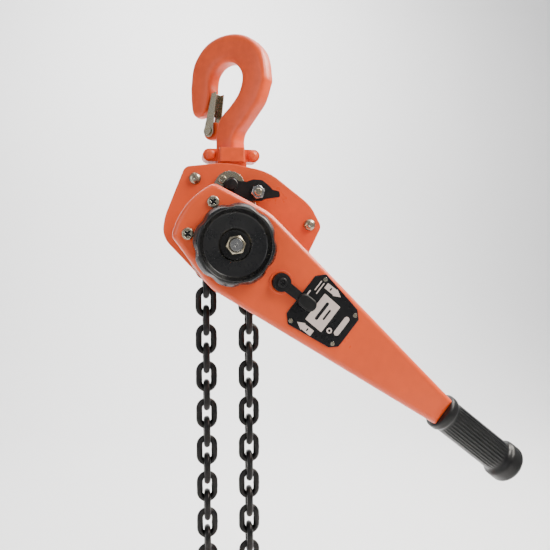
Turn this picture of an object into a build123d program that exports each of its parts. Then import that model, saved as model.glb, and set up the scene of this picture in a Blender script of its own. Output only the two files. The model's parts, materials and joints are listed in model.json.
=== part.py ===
"""Lever chain hoist, 1.5 t class, hanging from its top hook.

The origin is the saddle of the top hook, +Z is up, +X is to the right and -Y is the
handwheel side.  Everything that turns with the load sheave lies on the main axis,
which runs along Y through (MAIN_X, 0, MAIN_Z).  All sizes are millimetres.
"""

import os
from math import acos, cos, degrees, pi, radians, sin, sqrt, tan

from build123d import *

os.makedirs("parts", exist_ok=True)

# ---- driving dimensions -------------------------------------------------------------
MAIN_X, MAIN_Z = -4.0, -198.0      # main axis, seen from the front
FIT = 0.06                         # radial clearance of a running fit
GAP = 0.3                          # gap between faces that pass each other

# chain
WIRE = 7.1                         # chain wire diameter
PITCH = 21.0                       # distance from one link to the next
LINK_INNER = 21.35                 # inner length of a link, a little over its pitch
LINK_WIDTH = 23.8                  # outer width of a link
SHEAVE_POCKETS = 4
FLAT_LINK_R = 23.9                 # distance of the flat links from the main axis
UPRIGHT_LINK_R = 26.8              # distance of the upright links from the main axis
STRAND_X = FLAT_LINK_R             # the strands hang this far from the main axis
SWING_Z = -2.5 * PITCH             # first free link of each strand, from the main axis
FREE_LINKS = 17                    # free links in each strand

# frame
PLATE_IN, PLATE_OUT = 17.5, 21.0   # inner and outer faces of the side plates
STAY_POINTS = [(-36.0, 70.5), (89.0, 22.0), (70.0, -14.0)]
PAWL_PIVOT = (28.4, 55.4)
LOBE = (0.8, 63.0)                 # centre of the rounded lobe of the brake cover
TOP_PIN = (4.0, 73.0)

# gears
MODULE = 1.75
PRESSURE = radians(25)
SMALL_TEETH, BIG_TEETH = 12, 28
CENTRE_DISTANCE = MODULE * (SMALL_TEETH + BIG_TEETH) / 2
GEAR_LINE = -25.0                  # direction from the main axis to the right disc gear
BACKLASH = 0.10                    # taken off each tooth's thickness

# drive side
SHAFT_R = 7.0
HUB_R = 15.0
FRICTION_R = 32.0
RATCHET_R, RATCHET_ROOT, RATCHET_TEETH = 42.0, 37.5, 24
CHANGE_GEAR_R, CHANGE_TEETH = 27.0, 20

# lever
LEVER_ANGLE = -38.6                # direction of the lever, seen from the front
LEVER_BACK, LEVER_SPLIT, LEVER_FRONT = -46.5, -60.0, -73.0
SHELL = 2.2                        # thickness of the lever's two shells
LEVER_EDGE = 5.5                   # radius of the shells' rounded edges
HEAD_R = 61.0
SELECTOR_AT = 60.0                 # selector pivot, along the lever
LEVER_SHELL_END = 292.0
GRIP_START, GRIP_END = 290.0, 402.0
GRIP_R = 18.5
TANG_R = 11.0

# handwheel
WHEEL_R = 41.5
WHEEL_BACK, WHEEL_FRONT = -75.0, -91.0
SCALLOPS = 8

# hooks
HOOK_TURN = -40.0                  # the top hook's turn about the vertical
HOOK_THICK = 21.0
HOOK_SHANK_Z = -93.0               # end of the thick shank, below the saddle
LATCH_PIVOT = (-24.0, -71.0)
LATCH_SWEEP_R = 23.0               # the hook is thinned this far round the latch pivot
LATCH_WEB_R = 17.0                 # the latch has no web nearer to its pivot than this
BOWL_R = 20.0

MAIN_AXIS = Axis((MAIN_X, 0, MAIN_Z), (0, 1, 0))


# ---- planes and repeated shapes -----------------------------------------------------
def front(y, x=0.0, z=0.0):
    """A plane facing the viewer at depth y, centred (x, z) from the main axis."""
    return Plane((MAIN_X + x, y, MAIN_Z + z), x_dir=(1, 0, 0), z_dir=(0, -1, 0))


def lever_front(y, along=0.0, across=0.0):
    """A plane facing the viewer whose x runs along the lever."""
    a = radians(LEVER_ANGLE)
    x = MAIN_X + along * cos(a) - across * sin(a)
    z = MAIN_Z + along * sin(a) + across * cos(a)
    return Plane((x, y, z), x_dir=(cos(a), 0, sin(a)), z_dir=(0, -1, 0))


def across_lever(along):
    """A plane square to the lever at its mid depth."""
    base = lever_front(LEVER_SPLIT, along)
    return Plane(base.origin, x_dir=(0, 1, 0), z_dir=base.x_dir)


def gear_line_point(distance):
    """A point on the line through the two disc gears."""
    a = radians(GEAR_LINE)
    return distance * cos(a), distance * sin(a)


def turned(profile, x=0.0, z=0.0):
    """A solid of revolution about an axis along Y, from (radius, y) points."""
    with BuildPart() as solid:
        with BuildSketch(Plane((MAIN_X + x, 0, MAIN_Z + z))):
            with BuildLine():
                Polyline(*profile, close=True)
            make_face()
        revolve(axis=Axis((MAIN_X + x, 0, MAIN_Z + z), (0, 1, 0)))
    return solid.part


def ring(back, face, outer, inner, x=0.0, z=0.0):
    """A flat ring between two depths."""
    return turned([(inner, back), (outer, back), (outer, face), (inner, face)], x, z)


def hex_nut(back, face, flats, bore, x=0.0, z=0.0, turn=0.0):
    """A hexagon nut with its corners bevelled at the front."""
    corner_r = flats / sqrt(3)
    bevel = 0.12 * flats
    cone = turned(
        [(0, back), (corner_r, back), (corner_r, face + bevel * 0.6),
         (corner_r - bevel, face), (0, face)], x, z)
    with BuildPart() as nut:
        with BuildSketch(front(back, x, z)):
            RegularPolygon(corner_r, 6, rotation=turn)
            Circle(bore, mode=Mode.SUBTRACT)
        extrude(amount=back - face)
        add(cone, mode=Mode.INTERSECT)
    return nut.part


def cross_screw(plane, head_r, head_h, shank_r, shank_l):
    """A domed screw with a cross recess; the plane lies on the clamped face."""
    with BuildPart() as screw:
        with BuildSketch(plane):
            Circle(head_r)
        extrude(amount=head_h)
        fillet(screw.edges().sort_by(Axis(plane.origin, plane.z_dir))[-1], head_h * 0.6)
        with BuildSketch(plane.offset(head_h)):
            Rectangle(head_r * 1.25, head_r * 0.34)
            Rectangle(head_r * 0.34, head_r * 1.25)
        extrude(amount=-head_h * 0.8, mode=Mode.SUBTRACT)
        with BuildSketch(plane):
            Circle(shank_r)
        extrude(amount=-shank_l)
    return screw.part


def rivet(plane, head_r, head_h, shank_r, shank_l):
    """A round-headed rivet; the plane lies on the clamped face."""
    ball_r = (head_r ** 2 + head_h ** 2) / (2 * head_h)
    with BuildPart() as pin:
        with BuildSketch(plane):
            Circle(head_r)
        extrude(amount=head_h)
        with BuildPart(plane.offset(head_h - ball_r), mode=Mode.INTERSECT):
            Sphere(ball_r)
        with BuildSketch(plane):
            Circle(shank_r)
        extrude(amount=-shank_l)
    return pin.part


def gear(teeth, back, face, bore, x=0.0, z=0.0, turn=0.0):
    """An involute spur gear with one tooth centred at the angle turn."""
    pitch_r = MODULE * teeth / 2
    base_r = pitch_r * cos(PRESSURE)
    tip_r = pitch_r + MODULE * 0.95
    root_r = pitch_r - MODULE * 1.2
    half = pi / (2 * teeth) - BACKLASH / (2 * pitch_r) + tan(PRESSURE) - PRESSURE
    flank_steps = 4
    first_r = max(base_r, root_r)
    flank = []
    for i in range(flank_steps + 1):
        r = first_r + (tip_r - first_r) * i / flank_steps
        spread = acos(min(1.0, base_r / r))
        flank.append((r, half - (tan(spread) - spread)))
    if root_r < base_r:
        flank.insert(0, (root_r, half))
    points = []
    for k in range(teeth):
        mid = radians(turn) + 2 * pi * k / teeth
        points += [(r * cos(mid - a), r * sin(mid - a)) for r, a in flank]
        points += [(r * cos(mid + a), r * sin(mid + a)) for r, a in reversed(flank)]
    with BuildPart() as wheel:
        with BuildSketch(front(back, x, z)):
            with BuildLine():
                Polyline(*points, close=True)
            make_face()
            if bore:
                Circle(bore, mode=Mode.SUBTRACT)
        extrude(amount=back - face)
    return wheel.part


def chain_link():
    """One round-wire link, long way up, lying in the XZ plane about the origin."""
    wire_r = WIRE / 2
    bend = LINK_WIDTH / 2 - wire_r
    straight = LINK_INNER / 2 + wire_r - bend
    with BuildPart() as link:
        with BuildLine(Plane.XZ) as path:
            right = Line((bend, -straight), (bend, straight))
            RadiusArc(right @ 1, (-bend, straight), -bend)
            left = Line((-bend, straight), (-bend, -straight))
            RadiusArc(left @ 1, (bend, -straight), -bend)
        with BuildSketch(Plane((bend, 0, -straight), x_dir=(1, 0, 0), z_dir=(0, 0, 1))):
            Circle(wire_r)
        sweep(path=path.line)
    return link.part


def chain_strand(x, first_z, count, first_upright=True):
    """Links hanging below each other, turned by 90 degrees from one to the next."""
    link = chain_link()
    with BuildPart() as strand:
        for i in range(count):
            upright = (i % 2 == 0) == first_upright
            where = Location((MAIN_X + x, 0, MAIN_Z + first_z - i * PITCH),
                             (0, 0, 0 if upright else 90))
            with Locations(where):
                add(link)
    return strand.part


def hook_plane(saddle_z, turn):
    """The middle plane of a hook; its y points from the shank to the bowl."""
    a = radians(turn)
    return Plane((0, 0, saddle_z), x_dir=(cos(a), sin(a), 0), z_dir=(sin(a), -cos(a), 0))


def hook_body(plane, neck, collar):
    """A forged hook with its eye lug, thick shank, thin neck and round collar."""
    shank_r = 13.0
    with BuildPart() as hook:
        with BuildSketch(plane):
            with BuildLine():
                outer = Spline((shank_r, HOOK_SHANK_Z + 6), (16, -76), (28, -63), (42, -45),
                               (50, -20), (44, 8), (24, 25), (0, 30), (-24, 25), (-42, 7),
                               (-48, -18), (-46, -49))
                tip = ThreePointArc(outer @ 1, (-41, -55.5), (-35, -54))
                inner = Spline(tip @ 1, (-27.5, -48), (-22, -36), (-BOWL_R, -BOWL_R))
                bowl = ThreePointArc(inner @ 1, (0, 0), (BOWL_R, -BOWL_R))
                throat = Spline(bowl @ 1, (17, -34), (4, -48), (-16, -59))
                lug = ThreePointArc(throat @ 1, (-33.5, -71), (-17, -81))
                Line(lug @ 1, (-shank_r, HOOK_SHANK_Z + 6))
                Line((-shank_r, HOOK_SHANK_Z + 6), outer @ 0)
            make_face()
        extrude(amount=HOOK_THICK / 2, both=True)
        round_edges = hook.faces().filter_by(Axis(plane.origin, plane.z_dir)).edges()
        fillet(round_edges.filter_by(lambda e: e.length > 25).sort_by(SortBy.LENGTH)[-4:], 3.0)
        # the lug is thinner where the latch straddles it
        for side in (-1, 1):
            with BuildSketch(plane.offset(side * HOOK_THICK / 2)):
                with Locations(LATCH_PIVOT):
                    Circle(LATCH_SWEEP_R)
            extrude(amount=-side * (HOOK_THICK / 2 - 6.2), mode=Mode.SUBTRACT)
        with BuildSketch(plane):
            with Locations(LATCH_PIVOT):
                Circle(2.5 + FIT)
        extrude(amount=HOOK_THICK, both=True, mode=Mode.SUBTRACT)
        up = plane.y_dir
        shank_base = plane.origin + up * (HOOK_SHANK_Z + 14)
        with BuildSketch(Plane(shank_base, x_dir=plane.x_dir, z_dir=-up)):
            Circle(shank_r)
        extrude(amount=14)
        shank_end = plane.origin + up * HOOK_SHANK_Z
        with BuildSketch(Plane(shank_end, x_dir=plane.x_dir, z_dir=-up)):
            Circle(8.0)
        extrude(amount=neck + collar)
        with BuildSketch(Plane(shank_end - up * neck, x_dir=plane.x_dir, z_dir=-up)):
            Circle(11.5)
        extrude(amount=collar)
    return hook.part


def hook_latch(plane):
    """A channel-shaped safety latch, closed against the inside of the hook's tip."""
    outside = [(-29.5, -70), (-29, -66), (-19.0, -30.5), (-13.5, -29.5), (-17.5, -62), (-18, -74),
               (-24, -77)]
    inside = [(-32, -66.5), (-27.6, -66.5), (-17.6, -31), (-10, -20), (0, -60), (-10, -90),
              (-32, -90)]
    with BuildPart() as latch:
        with BuildSketch(plane):
            Polygon(*outside, align=None)
            with Locations(LATCH_PIVOT):
                Circle(6.5)
        extrude(amount=8.0, both=True)
        with BuildSketch(plane):
            Polygon(*inside, align=None)
        extrude(amount=6.6, both=True, mode=Mode.SUBTRACT)
        with BuildSketch(plane):
            with Locations(LATCH_PIVOT):
                Circle(LATCH_WEB_R)
        extrude(amount=6.6, both=True, mode=Mode.SUBTRACT)
        with BuildSketch(plane):
            with Locations(LATCH_PIVOT):
                Circle(2.5 + FIT)
        extrude(amount=12, both=True, mode=Mode.SUBTRACT)
    return latch.part


def latch_pin(plane):
    """The riveted pin of a latch."""
    with BuildPart() as pin:
        with BuildSketch(plane.offset(-9.2)):
            with Locations(LATCH_PIVOT):
                Circle(2.5)
        extrude(amount=18.4)
        for side in (-1, 1):
            with BuildSketch(plane.offset(side * 8.3)):
                with Locations(LATCH_PIVOT):
                    Circle(4.2)
            extrude(amount=side * 1.6)
    return pin.part


# ---- top hook and its latch ---------------------------------------------------------
TOP_HOOK_PLANE = hook_plane(0, HOOK_TURN)
NECK = 17.5
COLLAR = 7.0

with BuildPart() as top_hook:
    add(hook_body(TOP_HOOK_PLANE, NECK, COLLAR))
with BuildPart() as top_latch:
    add(hook_latch(TOP_HOOK_PLANE))
with BuildPart() as top_latch_pin:
    add(latch_pin(TOP_HOOK_PLANE))

# ---- yoke: two forged halves that clamp the hook's collar ---------------------------
YOKE_TOP, YOKE_LOW, TONGUE_LOW = -93.5, -108.4, -133.5


def top_yoke_half(side):
    """The front half for side -1, the rear half for side 1."""
    with BuildPart() as half:
        with BuildSketch(Plane.XZ.offset(-side * 0.02)):
            with BuildLine():
                Polyline((-13.5, YOKE_TOP), (13.5, YOKE_TOP), (15.5, YOKE_LOW), (17, TONGUE_LOW),
                         (-17, TONGUE_LOW), (-15.5, YOKE_LOW), close=True)
            make_face()
        extrude(amount=-side * 16.9)
        with BuildSketch(Plane.XZ.offset(-side * 0.02)):
            with Locations((0, (YOKE_TOP + YOKE_LOW) / 2)):
                Rectangle(27.0, YOKE_TOP - YOKE_LOW)
        extrude(amount=-side * 20.6)
        with BuildSketch(Plane.XZ.offset(-side * 0.02)):
            with Locations((0, -100.6)):
                SlotOverall(62, 13.4)
        extrude(amount=-side * 11.5)
        fillet(half.edges().filter_by(Axis.Z).group_by(Axis.Y)[0 if side < 0 else -1], 2.0)
        with BuildSketch(Plane.XY.offset(YOKE_TOP + 1)):
            Circle(8.0 + FIT)
        extrude(amount=-18.5, mode=Mode.SUBTRACT)
        with BuildSketch(Plane.XY.offset(HOOK_SHANK_Z - NECK + 0.15)):
            Circle(11.8)
        extrude(amount=-COLLAR - 0.4, mode=Mode.SUBTRACT)
        with BuildSketch(Plane.XZ):
            with Locations((-23, -100.6), (23, -100.6)):
                Circle(3.2)
        extrude(amount=25, both=True, mode=Mode.SUBTRACT)
        with BuildSketch(Plane.XZ):
            with Locations((TOP_PIN[0] + MAIN_X, TOP_PIN[1] + MAIN_Z)):
                Circle(5.0)
        extrude(amount=25, both=True, mode=Mode.SUBTRACT)
    return half.part


with BuildPart() as yoke_front:
    add(top_yoke_half(-1))
with BuildPart() as yoke_rear:
    add(top_yoke_half(1))
with BuildPart() as yoke_rivets:
    for x in (-23, 23):
        add(turned([(0, -15.4), (2.6, -15.2), (5.0, -13.8), (6.0, -11.55), (3.15, -11.55),
                    (3.15, 11.55), (6.0, 11.55), (5.0, 13.8), (2.6, 15.2), (0, 15.4)],
                   x - MAIN_X, -100.6 - MAIN_Z))
with BuildPart() as top_pin:
    add(turned([(0, -20.9), (4.95, -20.9), (4.95, 24), (0, 24)], *TOP_PIN))

# ---- side plates --------------------------------------------------------------------
SHEAVE_JOURNAL_R = 15.0
RACE_IN, RACE_OUT = 18.85, 21.5
PLATE_CORNERS = [                  # corners of the side plates and the radii that round them
    ((-46.5, 83.2), 9), ((-2, 88.6), 90), ((44, 79.5), 60), ((90, 44.5), 40), ((103, 20.4), 9),
    ((85, -16), 22), ((36, -57), 22), ((-14, -53), 20), ((-71, 9), 24), ((-68, 30), 60),
]


def side_plate(inner_y, outer_y):
    """A pressed side plate with a flat-topped, rounded outline."""
    with BuildPart() as plate:
        with BuildSketch(front(outer_y)) as outline:
            with BuildLine():
                Polyline(*(point for point, radius in PLATE_CORNERS), close=True)
            make_face()
            for point, radius in PLATE_CORNERS:
                fillet(outline.vertices().sort_by_distance(point)[0], radius)
            Circle(RACE_OUT, mode=Mode.SUBTRACT)
            with Locations(*STAY_POINTS):
                Circle(4.0, mode=Mode.SUBTRACT)
            with Locations(TOP_PIN):
                Circle(5.0, mode=Mode.SUBTRACT)
        extrude(amount=outer_y - inner_y)
    return plate.part


COVER_SCREWS = [(-14, -36), (32, -36), (35, 36), (-20, 36)]
BRAKE_SCREW_R = 38.0
BRAKE_SCREW_ANGLES = [150, 270, 30]


def cover_screw_points():
    """Places of the gear cover's screws, from the main axis."""
    a = radians(GEAR_LINE)
    return [(u * cos(a) - v * sin(a), u * sin(a) + v * cos(a)) for u, v in COVER_SCREWS]


def brake_screw_points():
    """Places of the brake cover's screws, from the main axis."""
    points = [(BRAKE_SCREW_R * cos(radians(a)), BRAKE_SCREW_R * sin(radians(a)))
              for a in BRAKE_SCREW_ANGLES]
    return points + [(LOBE[0] - 8.0, LOBE[1] + 6.5)]


with BuildPart() as front_side_plate:
    add(side_plate(-PLATE_IN, -PLATE_OUT))
    with BuildSketch(front(0)):
        with Locations(*brake_screw_points()):
            Circle(2.5)
        with Locations(PAWL_PIVOT):
            Circle(5.0)
    extrude(amount=30, both=True, mode=Mode.SUBTRACT)
    fillet(front_side_plate.faces().sort_by(Axis.Y)[0].outer_wire().edges(), 1.2)
with BuildPart() as rear_side_plate:
    add(side_plate(PLATE_OUT, PLATE_IN))
    with BuildSketch(front(0)):
        with Locations(*cover_screw_points()):
            Circle(2.5)
        with Locations(gear_line_point(CENTRE_DISTANCE), gear_line_point(-CENTRE_DISTANCE)):
            Circle(4.0 + FIT)
    extrude(amount=30, both=True, mode=Mode.SUBTRACT)

with BuildPart() as stay_bolts:
    for x, z in STAY_POINTS:
        add(turned([(0, -24.6), (3.95, -24.6), (3.95, -17.45), (6, -17.45), (6, 17.45),
                    (3.95, 17.45), (3.95, 24.6), (0, 24.6)], x, z))


def dome_nut(face, side, x, z):
    """A low domed nut with a centre dimple."""
    profile = [(4.0, 0), (6.4, 0), (6.4, 1.4), (6.0, 2.6), (5.0, 3.9), (3.4, 4.8), (1.7, 5.1),
               (1.3, 4.6), (0, 4.6), (0, 3.8), (4.0, 3.8)]
    return turned([(r, face + side * depth) for r, depth in profile], x, z)


with BuildPart() as stay_nuts:
    for x, z in STAY_POINTS:
        add(dome_nut(-PLATE_OUT - 0.02, -1, x, z))
        add(dome_nut(PLATE_OUT + 0.02, 1, x, z))

# ---- chain guide, stripper, bearings ------------------------------------------------
with BuildPart() as chain_guide:
    with BuildSketch(front(16.8)):
        Circle(44.5)
        Circle(41.5, mode=Mode.SUBTRACT)
        with Locations((0, -30)):
            Rectangle(100, 62, mode=Mode.SUBTRACT)
    extrude(amount=33.6)
    with BuildSketch(front(PLATE_IN - 0.05)):
        with Locations((-30.4, 30.4), (30.4, 30.4)):
            Rectangle(5, 5, rotation=45)
    extrude(amount=2 * (PLATE_IN - 0.05))
    with BuildSketch(front(16)):
        Circle(41.5)
    extrude(amount=32, mode=Mode.SUBTRACT)

with BuildPart() as chain_stripper:
    with BuildSketch(front(PLATE_IN - 0.05)):
        Polygon((-7, -37), (7, -37), (9, -50), (-9, -50), align=None)
    extrude(amount=2 * (PLATE_IN - 0.05))
    with BuildSketch(front(3.6)):
        Polygon((-6, -15.6), (6, -15.6), (8, -38), (-8, -38), align=None)
        Circle(15.4, mode=Mode.SUBTRACT)
    extrude(amount=7.2)

BALL_R = 1.85
BALL_CIRCLE = SHEAVE_JOURNAL_R + BALL_R + 0.05
with BuildPart() as bearing_races:
    for side in (-1, 1):
        add(ring(side * 17.3, side * 21.0, RACE_OUT, RACE_IN))
with BuildPart() as bearing_balls:
    for side in (-1, 1):
        with Locations(front(side * 19.2)):
            with PolarLocations(BALL_CIRCLE, 18):
                Sphere(BALL_R)

# ---- load sheave and load gear ------------------------------------------------------
POCKET_FLOOR = FLAT_LINK_R - WIRE / 2 - 0.4
with BuildPart() as load_sheave:
    add(turned([(SHAFT_R + FIT, -21.2), (SHEAVE_JOURNAL_R, -21.2), (SHEAVE_JOURNAL_R, -16.6),
                (31.5, -16.6), (31.5, -13.0), (31.0, -13.0), (31.0, -4.8), (14.0, -4.8),
                (14.0, 4.8), (31.0, 4.8), (31.0, 13.0), (31.5, 13.0), (31.5, 16.6),
                (SHEAVE_JOURNAL_R, 16.6), (SHEAVE_JOURNAL_R, 22.5), (11.0, 22.5), (11.0, 33.6),
                (SHAFT_R + FIT, 33.6)]))
    for i in range(SHEAVE_POCKETS):
        a = 2 * pi * i / SHEAVE_POCKETS
        floor = Plane((MAIN_X + POCKET_FLOOR * cos(a), 0, MAIN_Z + POCKET_FLOOR * sin(a)),
                      x_dir=(-sin(a), 0, cos(a)), z_dir=(cos(a), 0, sin(a)))
        with BuildSketch(floor):
            SlotOverall(LINK_INNER + 2 * WIRE + 1.0, LINK_WIDTH + 1.0)
        extrude(amount=15, mode=Mode.SUBTRACT)
with BuildPart() as load_gear:
    add(gear(BIG_TEETH, 33.0, 24.0, 11.0 + 0.02, turn=GEAR_LINE))


# ---- disc gears ---------------------------------------------------------------------
def disc_gear(distance):
    """A pinion, a disc gear and their shaft in one, on the line of the gears."""
    x, z = gear_line_point(distance)
    with BuildPart() as cluster:
        add(gear(SMALL_TEETH, 34.9, 23.6, 0, x, z, GEAR_LINE + 180 / SMALL_TEETH))
        add(gear(BIG_TEETH, 43.0, 34.9, 0, x, z, GEAR_LINE + 180 / BIG_TEETH))
        add(turned([(0, 17.7), (4.0, 17.7), (4.0, 21.3), (5.6, 21.3), (5.6, 23.6), (5.6, 43.0),
                    (5.6, 45.0), (4.0, 45.0), (4.0, 50.0), (0, 50.0)], x, z))
    return cluster.part


with BuildPart() as disc_gear_right:
    add(disc_gear(CENTRE_DISTANCE))
with BuildPart() as disc_gear_left:
    add(disc_gear(-CENTRE_DISTANCE))

# ---- gear cover ---------------------------------------------------------------------
COVER_PLANE = Plane((MAIN_X, PLATE_OUT + 0.02, MAIN_Z),
                    x_dir=(cos(radians(GEAR_LINE)), 0, sin(radians(GEAR_LINE))),
                    z_dir=(0, 1, 0))
COVER_DEPTH = 32.0
with BuildPart() as gear_cover:
    with BuildSketch(COVER_PLANE):
        SlotCenterToCenter(2 * CENTRE_DISTANCE, 2 * 29.0)
    extrude(amount=COVER_DEPTH)
    fillet(gear_cover.faces().sort_by(Axis.Y)[-1].edges(), 4.0)
    with BuildSketch(COVER_PLANE):
        SlotCenterToCenter(2 * CENTRE_DISTANCE, 2 * 30.2)
        with Locations(*[(u, -v) for u, v in COVER_SCREWS]):
            Circle(5.6)
    extrude(amount=3.0)
    with BuildSketch(COVER_PLANE):
        SlotCenterToCenter(2 * CENTRE_DISTANCE, 2 * 27.0)
    extrude(amount=COVER_DEPTH - 2.6, mode=Mode.SUBTRACT)
    with BuildSketch(COVER_PLANE.offset(COVER_DEPTH - 2.5)):
        with Locations((-CENTRE_DISTANCE, 0), (0, 0), (CENTRE_DISTANCE, 0)):
            Circle(8.0)
    extrude(amount=-3.6)
    with BuildSketch(COVER_PLANE.offset(COVER_DEPTH - 2.5)):
        with Locations((-CENTRE_DISTANCE, 0), (0, 0), (CENTRE_DISTANCE, 0)):
            Circle(4.0 + FIT)
    extrude(amount=-4.0, mode=Mode.SUBTRACT)
    with BuildSketch(COVER_PLANE):
        with Locations(*[(u, -v) for u, v in COVER_SCREWS]):
            Circle(2.5)
    extrude(amount=5, mode=Mode.SUBTRACT)
with BuildPart() as gear_cover_screws:
    for x, z in cover_screw_points():
        base = front(PLATE_OUT + 3.04, x, z)
        rear = Plane(base.origin, x_dir=(-1, 0, 0), z_dir=(0, 1, 0))
        add(cross_screw(rear, 4.6, 3.0, 2.45, 6.5))

# ---- drive shaft with everything clamped on it --------------------------------------
with BuildPart() as drive_shaft:
    add(gear(SMALL_TEETH, 44.0, 34.6, 0, turn=GEAR_LINE))
    add(turned([(0, 49.9), (4.0, 49.9), (4.0, 44.0), (SHAFT_R, 44.0), (SHAFT_R, -86.5),
                (6.0, -91.6), (1.6, -91.6), (1.0, -90.2), (0, -90.2)]))
with BuildPart() as friction_hub:
    add(turned([(SHAFT_R + 0.02, -24.6), (FRICTION_R, -24.6), (FRICTION_R, -28.6),
                (HUB_R, -28.6), (HUB_R, -39.9), (SHAFT_R + 0.02, -39.9)]))
with BuildPart() as friction_discs:
    add(ring(-28.65, -31.1, FRICTION_R, HUB_R + 0.3))
    add(ring(-37.6, -39.85, FRICTION_R, HUB_R + 0.3))
with BuildPart() as change_gear:
    add(turned([(SHAFT_R + 0.02, -39.95), (FRICTION_R, -39.95), (FRICTION_R, -42.9), (17.0, -42.9),
                (17.0, -50.0), (22.0, -50.0), (22.0, -58.5), (13.0, -58.5), (13.0, -76.9),
                (SHAFT_R + 0.02, -76.9)]))
    with BuildSketch(front(-50.0)):
        Circle(22.5)
        with PolarLocations(24.0, CHANGE_TEETH):
            Trapezoid(5.2, 6.4, 72, rotation=-90)
    extrude(amount=8.5)
    with BuildSketch(front(-45)):
        Circle(SHAFT_R + 0.02)
    extrude(amount=30, mode=Mode.SUBTRACT)

WHEEL_LIP_R = 36.0
with BuildPart() as handwheel:
    with BuildSketch(front(WHEEL_BACK)):
        Circle(WHEEL_R)
        with PolarLocations(WHEEL_R + 20.0, SCALLOPS, start_angle=9):
            Circle(21.8, mode=Mode.SUBTRACT)
    extrude(amount=WHEEL_BACK - WHEEL_FRONT)
    add(turned([(0, WHEEL_BACK + 1), (WHEEL_R - 1.2, WHEEL_BACK + 1), (WHEEL_R + 0.5, -77.5),
                (WHEEL_R + 0.5, -82.5), (WHEEL_LIP_R + 1.5, WHEEL_FRONT), (0, WHEEL_FRONT)]),
        mode=Mode.INTERSECT)
    add(turned([(0, -79.0), (14.5, -79.0), (15.5, -81.0), (23.0, -82.2), (32.0, -83.0),
                (34.6, -91.2), (0, -91.2)]), mode=Mode.SUBTRACT)
    add(turned([(0, -74), (13.05, -74), (13.05, -77.0), (SHAFT_R + 0.03, -77.0),
                (SHAFT_R + 0.03, -93), (0, -93)]), mode=Mode.SUBTRACT)
with BuildPart() as handwheel_washer:
    add(ring(-79.05, -80.6, 13.2, SHAFT_R + 0.1))
with BuildPart() as handwheel_nut:
    add(hex_nut(-80.65, -88.5, 17.0, SHAFT_R + 0.02, turn=8))

# ---- ratchet disc, pawl and brake cover ---------------------------------------------
with BuildPart() as ratchet_disc:
    with BuildSketch(front(-31.5)):
        Circle(RATCHET_ROOT + 0.2)
        step = 2 * pi / RATCHET_TEETH
        for k in range(RATCHET_TEETH):
            a = k * step
            with BuildLine():
                Polyline((RATCHET_R * cos(a), RATCHET_R * sin(a)),
                         (RATCHET_R * cos(a + 0.16 * step), RATCHET_R * sin(a + 0.16 * step)),
                         (RATCHET_ROOT * cos(a + 0.96 * step), RATCHET_ROOT * sin(a + 0.96 * step)),
                         (30 * cos(a + 0.96 * step), 30 * sin(a + 0.96 * step)),
                         (30 * cos(a), 30 * sin(a)), close=True)
            make_face()
        Circle(18.6, mode=Mode.SUBTRACT)
    extrude(amount=5.8)
with BuildPart() as ratchet_bush:
    add(ring(-31.6, -37.2, 18.55, HUB_R + FIT))

PAWL_BACK, PAWL_FACE = -31.9, -36.9
PAWL_TOE_ANGLE = 112.5
TOE_X = (RATCHET_R - 0.6) * cos(radians(PAWL_TOE_ANGLE))
TOE_Z = (RATCHET_R - 0.6) * sin(radians(PAWL_TOE_ANGLE))
with BuildPart() as check_pawl:
    with BuildSketch(front(PAWL_BACK)) as outline:
        with BuildLine():
            Polyline((-6.0, 66), (1, 72.5), (9, 67), (17, 66.5), (24, 69), (34, 68.5), (42, 62),
                     (45, 58.5), (52, 57), (53, 51), (38, 49), (33, 46.5), (20, 46.8), (4, 47.4),
                     (-12.0, 44.6), (-15.4, 41.3), (-16.2, 44.0), (-9, 54), close=True)
        make_face()
        for point, radius in (((1, 72.5), 5.5), ((24, 69), 5), ((34, 68.5), 6), ((52, 57), 1.5),
                              ((53, 51), 1.5), ((20, 46.8), 2), ((-9, 54), 4)):
            fillet(outline.vertices().sort_by_distance(point)[0], radius)
        with Locations(PAWL_PIVOT):
            Circle(5.0 + FIT, mode=Mode.SUBTRACT)
    extrude(amount=PAWL_BACK - PAWL_FACE)
with BuildPart() as pawl_knob:
    add(turned([(0, -36.95), (6.6, -36.95), (6.6, -41.5), (5.4, -43.2), (0, -43.6)], *LOBE))
with BuildPart() as pawl_stud:
    add(turned([(0, -17.6), (4.95, -17.6), (4.95, -21.05), (8.0, -21.05), (8.0, -24.0),
                (5.0, -24.0), (5.0, -37.2), (4.0, -37.2), (4.0, -44.8), (3.2, -45.4), (0, -45.4)],
               *PAWL_PIVOT))
with BuildPart() as pawl_nut:
    add(hex_nut(-37.25, -43.6, 13.0, 4.02, *PAWL_PIVOT, turn=12))
with BuildPart() as pawl_spring:
    with BuildLine() as coil:
        Helix(1.35, 6.0, 6.6, center=(MAIN_X + PAWL_PIVOT[0], -24.9, MAIN_Z + PAWL_PIVOT[1]),
              direction=(0, -1, 0))
    with BuildSketch(Plane(coil.line @ 0, z_dir=coil.line % 0)):
        Circle(0.5)
    sweep(path=coil.line, is_frenet=True)

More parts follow.
